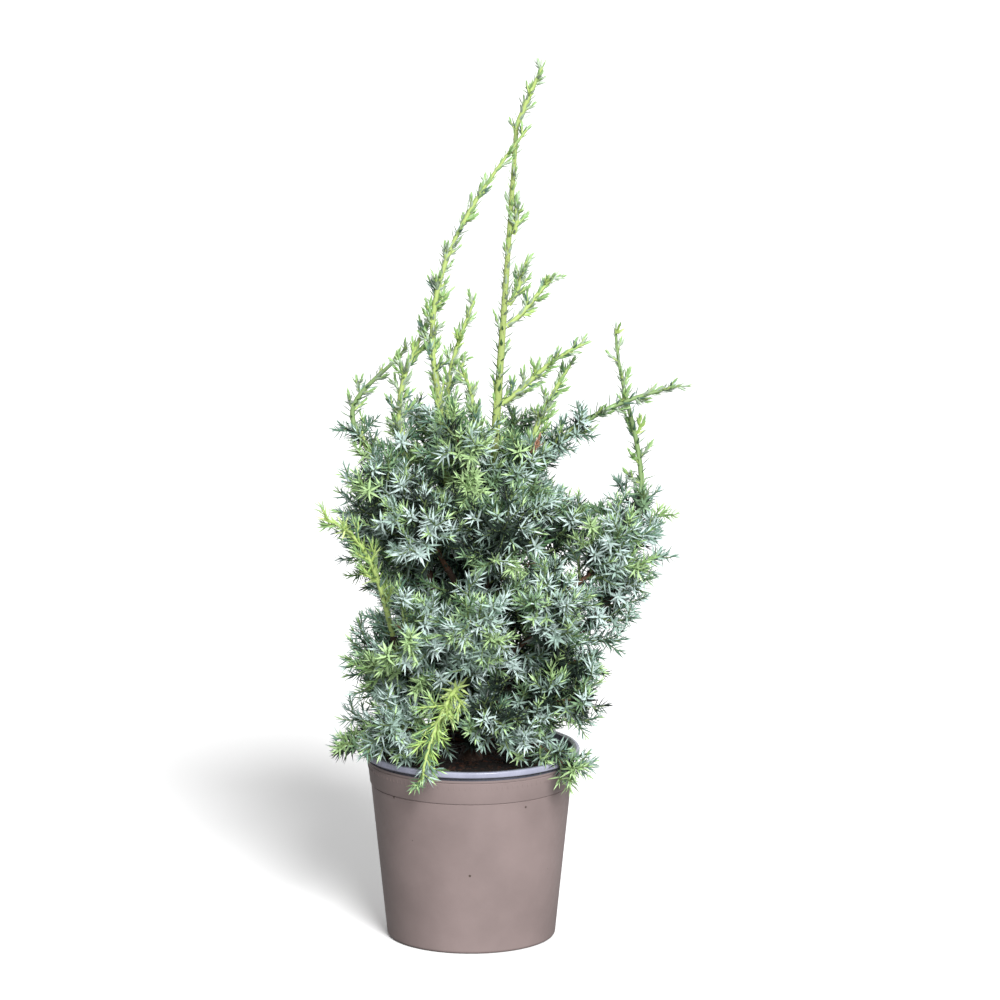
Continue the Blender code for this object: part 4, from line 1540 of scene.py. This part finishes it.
@dataclass
class Needles:
    """The needle tree: one awl-shaped needle of a few faces, set on every point.

    width, depth and bow are shares of the needle's length.
    """

    width: float = 0.074
    depth: float = 0.036
    bow: float = 0.08
    segments: int = 2
    swell: tuple[tuple[float, float], ...] = ((0.0, 0.32), (0.5, 0.91), (1.0, 0.5))
    swell_most: float = 2.2
    widest: float = 1.3
    wobble: float = 0.1

    def build(self) -> GeometryTree:
        """The tree, with the two materials of every tone."""
        shares = {"Width": self.width, "Depth": self.depth, "Bow": self.bow, "Wobble": self.wobble}
        tree = GeometryTree("needles_in_whorls", shares)
        wiring = tree.wiring
        labels = ("heading", "keel")
        axes = {k: wiring.attribute(label, "FLOAT_VECTOR") for k, label in enumerate(labels)}
        aimed = wiring.out("FunctionNodeAxesToRotation", axes, primary_axis="Z", secondary_axis="X")
        chance = {0: (-1.0, -1.0, -1.0), 1: (1.0, 1.0, 1.0), "Seed": SEED}
        turned = wiring.out("FunctionNodeRandomValue", chance, data_type="FLOAT_VECTOR")
        shaken = wiring.scaled(turned, tree.given["Wobble"])
        both = {0: aimed, 1: wiring.out("FunctionNodeEulerToRotation", {0: shaken})}
        length = wiring.attribute("length", "FLOAT")
        wide = wiring.math("MULTIPLY", length, wiring.attribute("breadth", "FLOAT"))
        spots = {
            "Points": tree.given["Geometry"],
            "Instance": self.needle(tree),
            "Rotation": wiring.out("FunctionNodeRotateRotation", both, rotation_space="LOCAL"),
            "Scale": wiring.out("ShaderNodeCombineXYZ", {0: length, 1: wide, 2: length}),
        }
        needles = wiring.out("GeometryNodeInstanceOnPoints", spots)
        held = wiring.out("GeometryNodeRealizeInstances", {"Geometry": needles})
        doubled = wiring.math("MULTIPLY", wiring.attribute("tone", "INT"), 2.0)
        number = wiring.math("ADD", doubled, wiring.attribute("upper", "INT"))
        pairs = [tone.value.build(tone.name.lower()) for tone in TONES]
        tree.end(tree.stored(held, "finish", number), [side for pair in pairs for side in pair])
        return tree

    def needle(self, tree: GeometryTree) -> Socket:
        """One needle along +Z at length one: flat bloomed face to -X, keel to +X.

        Args:
            tree: the tree that gives its width, depth and bow.

        Returns:
            The needle, its upper face marked by the attribute "upper".
        """
        wiring = tree.wiring
        rings = {"Vertices": 3, "Side Segments": self.segments}
        size = {"Radius Top": 0.0, "Radius Bottom": 1.0, "Depth": 1.0}
        cone = wiring.out("GeometryNodeMeshCone", {**rings, **size}, fill_type="NGON")
        place = wiring.out("GeometryNodeInputPosition")
        parts = wiring.add("ShaderNodeSeparateXYZ", {0: place}).outputs
        curve = wiring.add("ShaderNodeFloatCurve", {"Value": parts["Z"]})
        points = curve.mapping.curves[0].points
        points[0].location = self.swell[0]
        points[1].location = self.swell[-1]
        for spot in self.swell[1:-1]:
            points.new(*spot)
        curve.mapping.update()
        swell = wiring.math("MULTIPLY", curve.outputs[0], self.swell_most)
        thick, wide = (
            wiring.math("MULTIPLY", wiring.math("MULTIPLY", parts[axis], swell), tree.given[label])
            for axis, label in (("X", "Depth"), ("Y", "Width"))
        )
        along = wiring.math("POWER", parts["Z"], self.widest)
        bowed = wiring.math("MULTIPLY", wiring.math("POWER", along, 2.0), tree.given["Bow"])
        bent = {0: wiring.math("SUBTRACT", thick, bowed), 1: wide, 2: along}
        shaped = wiring.out("ShaderNodeCombineXYZ", bent)
        moved = wiring.out("GeometryNodeSetPosition", {"Geometry": cone, "Position": shaped})
        flat = wiring.out("GeometryNodeSetShadeSmooth", {"Geometry": moved, "Shade Smooth": False})
        normal = wiring.out("GeometryNodeInputNormal")
        facing = wiring.out("ShaderNodeSeparateXYZ", {0: normal})
        return tree.stored(flat, "upper", wiring.math("LESS_THAN", facing, -0.5))


@dataclass
class Twigs:
    """The twig tree: round limbs of a few sides along paths, capped at both ends."""

    sides: int = 5
    step: float = 3.0

    def build(self) -> GeometryTree:
        """The tree, with a material for each kind of twig."""
        tree = GeometryTree("round_twigs", {"Sides": self.sides, "Step": self.step * MM})
        smooth = tree.wiring.out("GeometryNodeSetShadeSmooth", {"Geometry": tree.tubes()})
        number = tree.wiring.attribute("tone", "INT")
        tree.end(tree.stored(smooth, "finish", number), [wood.value.build() for wood in WOODS])
        return tree

    def mesh(self, name: str, shoots: Sequence[Shoot]) -> Mesh:
        """The shoots as paths, with what the twig tree reads.

        Args:
            name: the mesh's name.
            shoots: the stems, twigs and sprigs.

        Returns:
            The mesh of edges.
        """
        paths = [shoot.path for shoot in shoots]
        girths = [shoot.radius_at(np.linspace(0, 1, len(shoot.path))) * MM for shoot in shoots]
        tones = [np.full(len(shoot.path), WOODS.index(shoot.wood)) for shoot in shoots]
        return path_mesh(name, paths, girth=girths, tone=tones)


@dataclass
class Bark:
    """The trunk and boughs as one mesh with the bark's relief."""

    limbs: Limbs
    sides: int = 16
    step: float = 1.6
    relief: float = 0.34
    ridge_scale: float = 420.0
    ridge_stretch: float = 0.22
    sunk: float = 0.6
    collar: float = 1.3
    young_from: float = 268.0
    young_over: float = 48.0
    lead_ahead: float = 30.0
    rooted: float = 0.3
    ridges: Range = (-0.6, 1.0)
    young_relief: float = 0.15
    young_colour: Colour = Colour(152, 170, 100)
    trunk_points: int = 120

    def build(self, mottle: Mottle) -> None:
        """Makes the piece and stands it for the frame's trunk and boughs.

        Args:
            mottle: the group that every mottled finish places.
        """
        finish = Surface.BARK.value.build(mottle, youth=self.young_colour)
        nodes = ["trunk"] + [f"bough_{branch.name}" for branch in BRANCHES if branch.fork]
        piece = self.tree(finish).run("bark_trunk_and_boughs", self.mesh())
        settle(piece, "bark", *nodes)

    def youth(self, path: Array, ahead: float = 0.0) -> Array:
        """How green a limb is at each point, 0 for brown, 1 for green, as if so much higher up."""
        return np.clip((path[:, 2] + ahead - self.young_from) / self.young_over, 0.0, 1.0)

    def mesh(self) -> Mesh:
        """The limbs as paths, with radius and youth at each point."""
        heights = np.linspace(self.limbs.trunk_foot - self.sunk, TRUNK_TIP, self.trunk_points)
        trunk = [self.limbs.trunk_at(height) for height in heights]
        paths = [np.array([axis for axis, _ in trunk])]
        girths = [np.array([radius for _, radius in trunk]) * MM]
        youths = [self.youth(paths[0])]
        for branch in BRANCHES:
            bough, _ = self.limbs.paths(branch)
            if bough is None:
                continue
            axis, bark = self.limbs.trunk_at(branch.foot)
            root = bark * self.limbs.bough_share
            radii = np.linspace(root, self.limbs.bough_tip_radius, len(bough))
            radii[0] *= self.collar
            inside = axis + (bough[0] - axis) * self.rooted
            paths.append(np.concatenate((inside[None], bough)))
            girths.append(np.array((root * self.collar, *radii)) * MM)
            youths.append(self.youth(paths[-1], self.lead_ahead if branch.leads else 0.0))
        return path_mesh("limbs", paths, girth=girths, youth=youths)

    def tree(self, finish: Material) -> GeometryTree:
        """The bark tree: round limbs, with ridges that run along them pushed out of the surface.

        Args:
            finish: the bark's material.

        Returns:
            The tree, ready to run.
        """
        size = {"Sides": self.sides, "Step": self.step * MM, "Relief": self.relief * MM}
        ridge = {"Ridge Scale": self.ridge_scale, "Ridge Stretch": self.ridge_stretch}
        tree = GeometryTree("bark_relief", {**size, **ridge})
        wiring = tree.wiring
        place = wiring.out("GeometryNodeInputPosition")
        drawn = {0: 1.0, 1: 1.0, 2: tree.given["Ridge Stretch"]}
        stretch = wiring.out("ShaderNodeCombineXYZ", drawn)
        stretched = wiring.vector("MULTIPLY", place, stretch)
        noise = {"Vector": stretched, "Scale": tree.given["Ridge Scale"], "Detail": 3.0}
        height = wiring.spread(wiring.out("ShaderNodeTexNoise", noise), *NOISE_RANGE, *self.ridges)
        old = wiring.math("SUBTRACT", 1.0 + self.young_relief, wiring.attribute("youth", "FLOAT"))
        push = wiring.math("MULTIPLY", wiring.math("MULTIPLY", height, old), tree.given["Relief"])
        offset = wiring.scaled(wiring.out("GeometryNodeInputNormal"), push)
        rough = wiring.out("GeometryNodeSetPosition", {"Geometry": tree.tubes(), "Offset": offset})
        tree.end(wiring.out("GeometryNodeSetShadeSmooth", {"Geometry": rough}), [finish])
        return tree


# How high a mass's tip is where one region ends and the next begins
CROWN_TOP_FROM, FRONT_MIDDLE_FROM, BACK_UPPER_FROM = 275, 210, 225


class Region(Enum):
    """Parts of the crown, each of whose needles and twigs are one piece."""

    LEADERS = "leaders"
    INSIDE = "inside"
    CROWN_TOP = "crown_top"
    FRONT_MIDDLE = "front_middle"
    FRONT_LOWER = "front_lower"
    BACK_UPPER = "back_upper"
    BACK_LOWER = "back_lower"

    @classmethod
    def of(cls, branch: Branch) -> "Region":
        """The region that a branch's mass is in."""
        if branch.leads:
            return cls.LEADERS
        if branch.name.startswith(("back_", "low_back")):
            return cls.BACK_UPPER if branch.tip[2] > BACK_UPPER_FROM else cls.BACK_LOWER
        if branch.tip[2] > CROWN_TOP_FROM:
            return cls.CROWN_TOP
        return cls.FRONT_MIDDLE if branch.tip[2] > FRONT_MIDDLE_FROM else cls.FRONT_LOWER


@dataclass
class Crown:
    """All the foliage, region by region: one piece of needles and one of twigs for each."""

    limbs: Limbs
    pot: PotShape

    def build(self) -> None:
        """Grows the shoots and makes the pieces."""
        foliage = Foliage(self.limbs, self.pot)
        shoots = foliage.grow()
        needles, twigs = Needles().build(), Twigs()
        twig_tree = twigs.build()
        for region in Region:
            branches = [branch for branch in BRANCHES if Region.of(branch) is region]
            own = [shoot for branch in branches for shoot in shoots[branch.name]]
            if region is Region.LEADERS:
                own += foliage.leader()
            if region is Region.INSIDE:
                own += foliage.inner_sprays()
            bed = NeedleBed()
            draw = random.Random(f"{SEED} {region.value}")
            for shoot in own:
                bed.clothe(shoot, draw)
            slot = "young_shoots" if region is Region.LEADERS else "needles"
            piece = needles.run(f"needles_{region.value}", bed.mesh(region.value))
            settle(piece, slot, *[branch.node for branch in branches])
            stems = twig_tree.run(f"twigs_{region.value}", twigs.mesh(region.value, own))
            settle(stems, "bark")


@dataclass
class Pot:
    """The nursery pot: a turned shell with a rolled lip, a collar, a groove and drain holes."""

    shape: PotShape
    sides: int = 144
    arc_points: int = 5
    groove_width: float = 0.7
    groove_depth: float = 0.45
    ribs: int = 120
    recess_low: float = 2.1
    recess_high: float = 1.2
    recess_depth: float = 0.6
    lip_wall: float = 1.5
    lip_top: float = 1.9
    brink: float = 0.9
    floor_bend: float = 2.0
    floor_inset: float = 1.6
    line: float = 0.2
    drain_sides: int = 20
    rib_drop: float = 2.4
    rib_size: Place = (0.3, 0.35, 2.6)
    smooth_up_to: float = math.radians(42)

    def profile(self) -> tuple[list[Ring], int, int]:
        """The section as (radius, height), and the first rings of its recess and its lip."""
        s, arc, wall, inner = self.shape, self.arc, self.shape.wall_radius, self.shape.inner_radius
        step, edge = s.groove_step, s.lip_height / 4
        drops = (s.lip_height, s.collar_drop, s.groove_drop)
        lip_low, collar, groove = (s.height - drop for drop in drops)
        cut = wall(groove) - step - self.groove_depth
        collar_cut = wall(collar) - self.groove_depth
        recessed = wall(lip_low) - self.recess_depth
        lip_inside = s.rim_radius - self.lip_wall
        outer = [
            (0.0, 0.0),
            *arc(wall(s.foot_round) - step - s.foot_round, s.foot_round, s.foot_round, -90, 0),
            (wall(groove - 2) - step, groove - 2.0),
            (wall(groove) - step, groove - self.groove_width),
            (cut, groove - self.groove_width / 2),
            (cut, groove),
            (wall(groove) - 0.15, groove + 0.25),
            (wall(groove), groove + step),
            (wall(collar - 1.0), collar - 1.0),
            (wall(collar), collar - 0.5),
            (collar_cut, collar - self.line),
            (collar_cut, collar + self.line),
            (wall(collar) + self.line, collar + 0.5),
            (wall(lip_low) + 0.1, lip_low - self.recess_low),
        ]
        recess = [
            (recessed, lip_low - self.recess_low + 0.4),
            (recessed, lip_low + self.recess_high),
            (lip_inside, lip_low + self.recess_high),
            (lip_inside + 0.1, lip_low + 0.15),
        ]
        lip = [
            *arc(s.rim_radius - edge, lip_low + edge, edge, -70, 0),
            *arc(s.rim_radius - edge, s.height - edge, edge, 0, 60),
            (s.rim_radius - edge, s.height),
            (s.rim_radius - self.lip_top, s.height),
            (inner(s.height) + 0.4, s.height - 0.2),
            (inner(s.height), s.height - self.brink),
            (inner(s.floor + self.floor_bend), s.floor + self.floor_bend),
            (inner(s.floor) - self.floor_inset, s.floor),
            (0.0, s.floor),
        ]
        return outer + recess + lip, len(outer), len(outer) + len(recess)

    def arc(
        self, radius: float, height: float, bend: float, start: float, end: float
    ) -> list[Ring]:
        """Points on a round edge of the section, between two angles in degrees."""
        angles = np.radians(np.linspace(start, end, self.arc_points))
        return [(radius + bend * math.cos(a), height + bend * math.sin(a)) for a in angles]

    def build(self, mottle: Mottle) -> None:
        """Makes the shell with its drain holes and the fine ribs on its collar.

        Args:
            mottle: the group that every mottled finish places.
        """
        looks = (Surface.POT, Surface.LIP, Surface.INSIDE)
        finishes = [surface.value.build(mottle) for surface in looks]
        profile, recess, lip = self.profile()
        shell = self.turned("pot_shell", profile)
        for finish in finishes:
            shell.data.materials.append(finish)
        over_lip = lip + 2 * self.arc_points + 1
        for face in shell.data.polygons:
            ring = (face.index - self.sides) // self.sides + 1
            # The lip's rings take the lighter grey, a painted highlight.
            if lip - 1 <= ring < over_lip:
                face.material_index = 1
            # The recess under the lip takes the dark inside grey as painted shade; the inside wall and
            # floor take it as their own colour.
            elif ring >= recess - 1:
                face.material_index = 2
        self.drain(shell)
        shell.data.shade_smooth()
        shell.data.set_sharp_from_angle(angle=self.smooth_up_to)
        settle(shell, "pot", "pot")
        settle(self.collar_ribs(finishes[0]), "pot")

    def turned(self, name: str, profile: Sequence[Ring]) -> Thing:
        """A closed shape turned on the Z axis from a section that starts and ends on it.

        Args:
            name: the object's name.
            profile: the section, as (radius, height).

        Returns:
            The closed shell.
        """
        sides, rings = self.sides, len(profile) - 2
        vertices = [(0.0, 0.0, profile[0][1])]
        for radius, height in profile[1:-1]:
            vertices += ring_points(radius, height, sides)
        vertices.append((0.0, 0.0, profile[-1][1]))
        faces = [(0, 1 + (k + 1) % sides, 1 + k) for k in range(sides)]
        for ring in range(rings - 1):
            faces += ring_faces(1 + ring * sides, sides)
        last = 1 + (rings - 1) * sides
        faces += [(last + k, last + (k + 1) % sides, len(vertices) - 1) for k in range(sides)]
        return solid(name, vertices, faces)

    def drain(self, shell: Thing) -> None:
        """Cuts the drain holes through the floor.

        Args:
            shell: the pot's shell.
        """
        s, count = self.shape, self.drain_sides
        vertices, faces = [], []
        for hole in range(s.drain_holes):
            turn = 2 * math.pi * (hole + 0.5) / s.drain_holes
            middle = (s.drain_ring * math.cos(turn), s.drain_ring * math.sin(turn))
            first = len(vertices)
            for height in (-s.floor, 2 * s.floor):
                vertices += ring_points(s.drain_radius, height, count, middle)
            faces += ring_faces(first, count)
            faces.append(tuple(first + k for k in reversed(range(count))))
            faces.append(tuple(first + count + k for k in range(count)))
        pins = solid("drain_pins", vertices, faces)
        cut = shell.modifiers.new("drains", "BOOLEAN")
        cut.operation = "DIFFERENCE"
        cut.object = pins
        applied(shell, cut)
        bpy.data.objects.remove(pins)

    def collar_ribs(self, finish: Material) -> Thing:
        """Fine upright ribs round the collar, under its upper line.

        Args:
            finish: the pot's material.

        Returns:
            The ribs as one piece.
        """
        s = self.shape
        level = s.height - s.collar_drop - self.rib_drop
        ring = {"Ribs": self.ribs, "Radius": s.wall_radius(level) * MM, "Height": level * MM}
        labels = ("Rib Proud", "Rib Width", "Rib Length")
        size = {label: side * MM for label, side in zip(labels, self.rib_size)}
        tree = GeometryTree("collar_ribs", {**ring, **size})
        wiring, given = tree.wiring, tree.given
        circle = {"Resolution": given["Ribs"], "Radius": given["Radius"]}
        feet = wiring.out("GeometryNodeCurvePrimitiveCircle", circle)
        lift = wiring.out("ShaderNodeCombineXYZ", {2: given["Height"]})
        sides = wiring.out("ShaderNodeCombineXYZ", dict(enumerate(map(given.get, size))))
        place = wiring.out("GeometryNodeInputPosition")
        outward = wiring.vector("MULTIPLY", place, (1.0, 1.0, 0.0))
        axes = {0: (0.0, 0.0, 1.0), 1: outward}
        spots = {
            "Points": wiring.out("GeometryNodeSetPosition", {"Geometry": feet, "Offset": lift}),
            "Instance": wiring.out("GeometryNodeMeshCube", {"Size": sides}),
            "Rotation": wiring.out(
                "FunctionNodeAxesToRotation", axes, primary_axis="Z", secondary_axis="X"
            ),
        }
        tree.end(wiring.out("GeometryNodeInstanceOnPoints", spots), [finish])
        return tree.run("pot_collar_ribs", bpy.data.meshes.new("ring"))


@dataclass
class Soil:
    """Peat with bark chips, level with the collar."""

    shape: PotShape
    chips: float = 62000.0
    crumbs: float = 90000.0
    chip_size: Place = (5.2, 3.4, 1.5)
    crumb_size: Place = (1.7, 1.4, 1.1)
    scales: tuple[Place, Place] = ((0.45, 0.45, 0.5), (1.0, 1.0, 1.0))
    tilts: tuple[Place, Place] = ((-0.5, -0.5, -math.pi), (0.5, 0.5, math.pi))
    sides: int = 48
    wall_gap: float = 4.0
    edge_lift: float = 0.3
    slope_lift: float = 0.1
    slope_radius: float = 11.0
    heap_radius: float = 9.0

    def build(self, mottle: Mottle) -> None:
        """Dresses the frame's soil and strews chips and crumbs over it.

        Args:
            mottle: the group that every mottled finish places.
        """
        peat = Surface.PEAT.value.build(mottle)
        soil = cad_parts["soil"]
        for slot in soil.material_slots:
            slot.material = peat
        finishes = [chip.value.build() for chip in Chip]
        settle(self.strewn("soil_chips", self.chips, self.chip_size, finishes), "soil")
        settle(self.strewn("soil_crumbs", self.crumbs, self.crumb_size, finishes), "soil")

    def strewn(self, name: str, density: float, size: Place, finishes: Sequence[Material]) -> Thing:
        """Chips of one size over the soil.

        Args:
            name: the piece's name.
            density: how many there are a square metre.
            size: a chip's largest length, width and thickness.
            finishes: the materials that are dealt out to them.

        Returns:
            The piece.
        """
        sides = dict(zip(("Length", "Width", "Thickness"), (side * MM for side in size)))
        tree = GeometryTree(name, {"Density": density, **sides})
        wiring, given = tree.wiring, tree.given
        ground = {"Mesh": given["Geometry"], "Density": given["Density"], "Seed": SEED}
        full = wiring.out("ShaderNodeCombineXYZ", dict(enumerate(map(given.get, sides))))
        ball = wiring.out("GeometryNodeMeshIcoSphere", {"Radius": 0.5, "Subdivisions": 1})
        scale, turn = (
            wiring.out(
                "FunctionNodeRandomValue",
                {0: least, 1: most, "Seed": SEED + later},
                data_type="FLOAT_VECTOR",
            )
            for later, (least, most) in enumerate((self.scales, self.tilts), 1)
        )
        faceted = {"Geometry": ball, "Shade Smooth": False}
        spots = {
            "Points": wiring.out("GeometryNodeDistributePointsOnFaces", ground),
            "Instance": wiring.out("GeometryNodeSetShadeSmooth", faceted),
            "Rotation": wiring.out("FunctionNodeEulerToRotation", {0: turn}),
            "Scale": wiring.vector("MULTIPLY", scale, full),
        }
        strewn = wiring.out("GeometryNodeInstanceOnPoints", spots)
        chance = {4: 0, 5: len(finishes) - 1, "Seed": SEED + 3}
        number = wiring.add("FunctionNodeRandomValue", chance, data_type="INT").outputs[2]
        tree.end(tree.stored(strewn, "finish", number, domain="INSTANCE"), finishes)
        return tree.run(name, self.ground())

    def ground(self) -> Mesh:
        """The soil's upper face, clear of the wall and the trunk."""
        s, sides = self.shape, self.sides
        top = s.height - s.soil_drop
        edge = s.inner_radius(top) - self.wall_gap
        rings = (
            (edge, top - s.soil_heap + self.edge_lift),
            ((edge + self.slope_radius) / 2, top + self.slope_lift),
            (self.heap_radius, top + s.soil_heap),
        )
        vertices = [point for ring in rings for point in ring_points(*ring, sides)]
        faces = [face for k in range(len(rings) - 1) for face in ring_faces(k * sides, sides)]
        return shape_mesh("ground", vertices, faces)


@dataclass
class Studio:
    """Pale floor, soft light and the camera. Sizes here are metres."""

    elevation: float = 12.0
    azimuth: float = 0.0
    distance: float = 4.2
    margin: float = 1.06
    surround: float = 0.4
    surround_behind: float = 1.1
    backdrop: float = 1.25
    key: float = 5.4
    key_breadth: float = 24.0
    key_place: Place = (0.6, -1.8, 1.18)
    floor_side: float = 14.0
    floor_roughness: float = 0.7
    behind_from: float = 0.9
    furthest: float = 50.0
    floor: Colour = Colour(250, 250, 250)
    floor_given: Colour = Colour(118, 118, 118)

    def build(self, box: Box) -> None:
        """Sets up the floor, the lights and the camera round the object's box.

        Args:
            box: its lowest and its highest corner.
        """
        low, high = (np.array(corner, float) for corner in box)
        self.lay_floor()
        self.light((low + high) / 2)
        self.aim(low, high)

    def lay_floor(self) -> None:
        """A wide pale floor under the pot."""
        half = self.floor_side / 2
        mesh = bpy.data.meshes.new("floor")
        corners = [(-half, -half, 0.0), (half, -half, 0.0), (half, half, 0.0), (-half, half, 0.0)]
        mesh.from_pydata(corners, [], [(0, 1, 2, 3)])
        mesh.materials.append(self.floor_finish())
        floor = placed("floor", mesh)
        floor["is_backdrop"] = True

    def floor_finish(self) -> Material:
        """Pale to the camera, and darker to the object, so that little light comes from below."""
        material, wiring, shader = new_material("studio_floor")
        seen = wiring.add("ShaderNodeLightPath").outputs["Is Camera Ray"]
        ends = {0: seen, 6: self.floor_given.linear(), 7: self.floor.linear()}
        colour = wiring.add("ShaderNodeMix", ends, data_type="RGBA").outputs[2]
        wiring.tree.links.new(colour, shader.inputs["Base Color"])
        shader.inputs["Roughness"].default_value = self.floor_roughness
        return material

    def light(self, middle: Array) -> None:
        """A pale surround and a broad key light to the front right.

        Args:
            middle: the object's middle.
        """
        world = bpy.data.worlds.new("studio")
        world.use_nodes = True
        background = world.node_tree.nodes["Background"]
        wiring = Wiring(world.node_tree)
        seen = wiring.add("ShaderNodeLightPath").outputs["Is Camera Ray"]
        way = wiring.add("ShaderNodeTexCoord").outputs["Generated"]
        depth = wiring.add("ShaderNodeSeparateXYZ", {0: way}).outputs["Y"]
        ends = (self.surround, self.surround_behind)
        given = wiring.spread(depth, 0.0, self.behind_from, *ends)
        strength = wiring.spread(seen, 0.0, 1.0, given, self.backdrop)
        world.node_tree.links.new(strength, background.inputs["Strength"])
        background.inputs["Color"].default_value = (1.0, 1.0, 1.0, 1.0)
        bpy.context.scene.world = world
        key = bpy.data.lights.new("key", "SUN")
        key.energy = self.key
        key.angle = math.radians(self.key_breadth)
        holder = placed("key", key)
        holder.location = middle + np.array(self.key_place)
        self.point(holder, middle)

    def point(self, thing: Thing, target: Array) -> None:
        """Turns a lamp or camera to a place."""
        ahead = Vector(target) - Vector(thing.location)
        thing.rotation_euler = ahead.to_track_quat("-Z", "Y").to_euler()

    def aim(self, low: Array, high: Array) -> None:
        """A long lens at the photograph's height, framing the whole object.

        Args:
            low: the box's lowest corner.
            high: its highest corner.
        """
        middle = (low + high) / 2
        turn, rise = math.radians(self.azimuth), math.radians(self.elevation)
        level = math.cos(rise)
        back = np.array((math.sin(turn) * level, -math.cos(turn) * level, math.sin(rise)))
        lens = bpy.data.cameras.new("view")
        camera = placed("camera", lens)
        camera.location = middle + back * self.distance
        self.point(camera, middle)
        bpy.context.scene.camera = camera
        tall = (high[2] - low[2]) * math.cos(rise) + (high[1] - low[1]) * math.sin(rise)
        span = max(tall, high[0] - low[0]) * self.margin
        lens.lens = lens.sensor_width * self.distance / span
        lens.clip_end = self.furthest


def main() -> None:
    """Builds every piece and the studio round the frame's box."""
    logging.basicConfig(level=logging.INFO, format="%(message)s")
    cad_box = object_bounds()
    limbs, shape = Limbs(), PotShape()
    mottle = Mottle()
    Pot(shape).build(mottle)
    Soil(shape).build(mottle)
    Bark(limbs).build(mottle)
    Crown(limbs, shape).build()
    Studio().build(cad_box)
    bpy.context.scene.view_settings.view_transform = "Standard"
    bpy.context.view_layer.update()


if __name__ == "__main__":
    main()
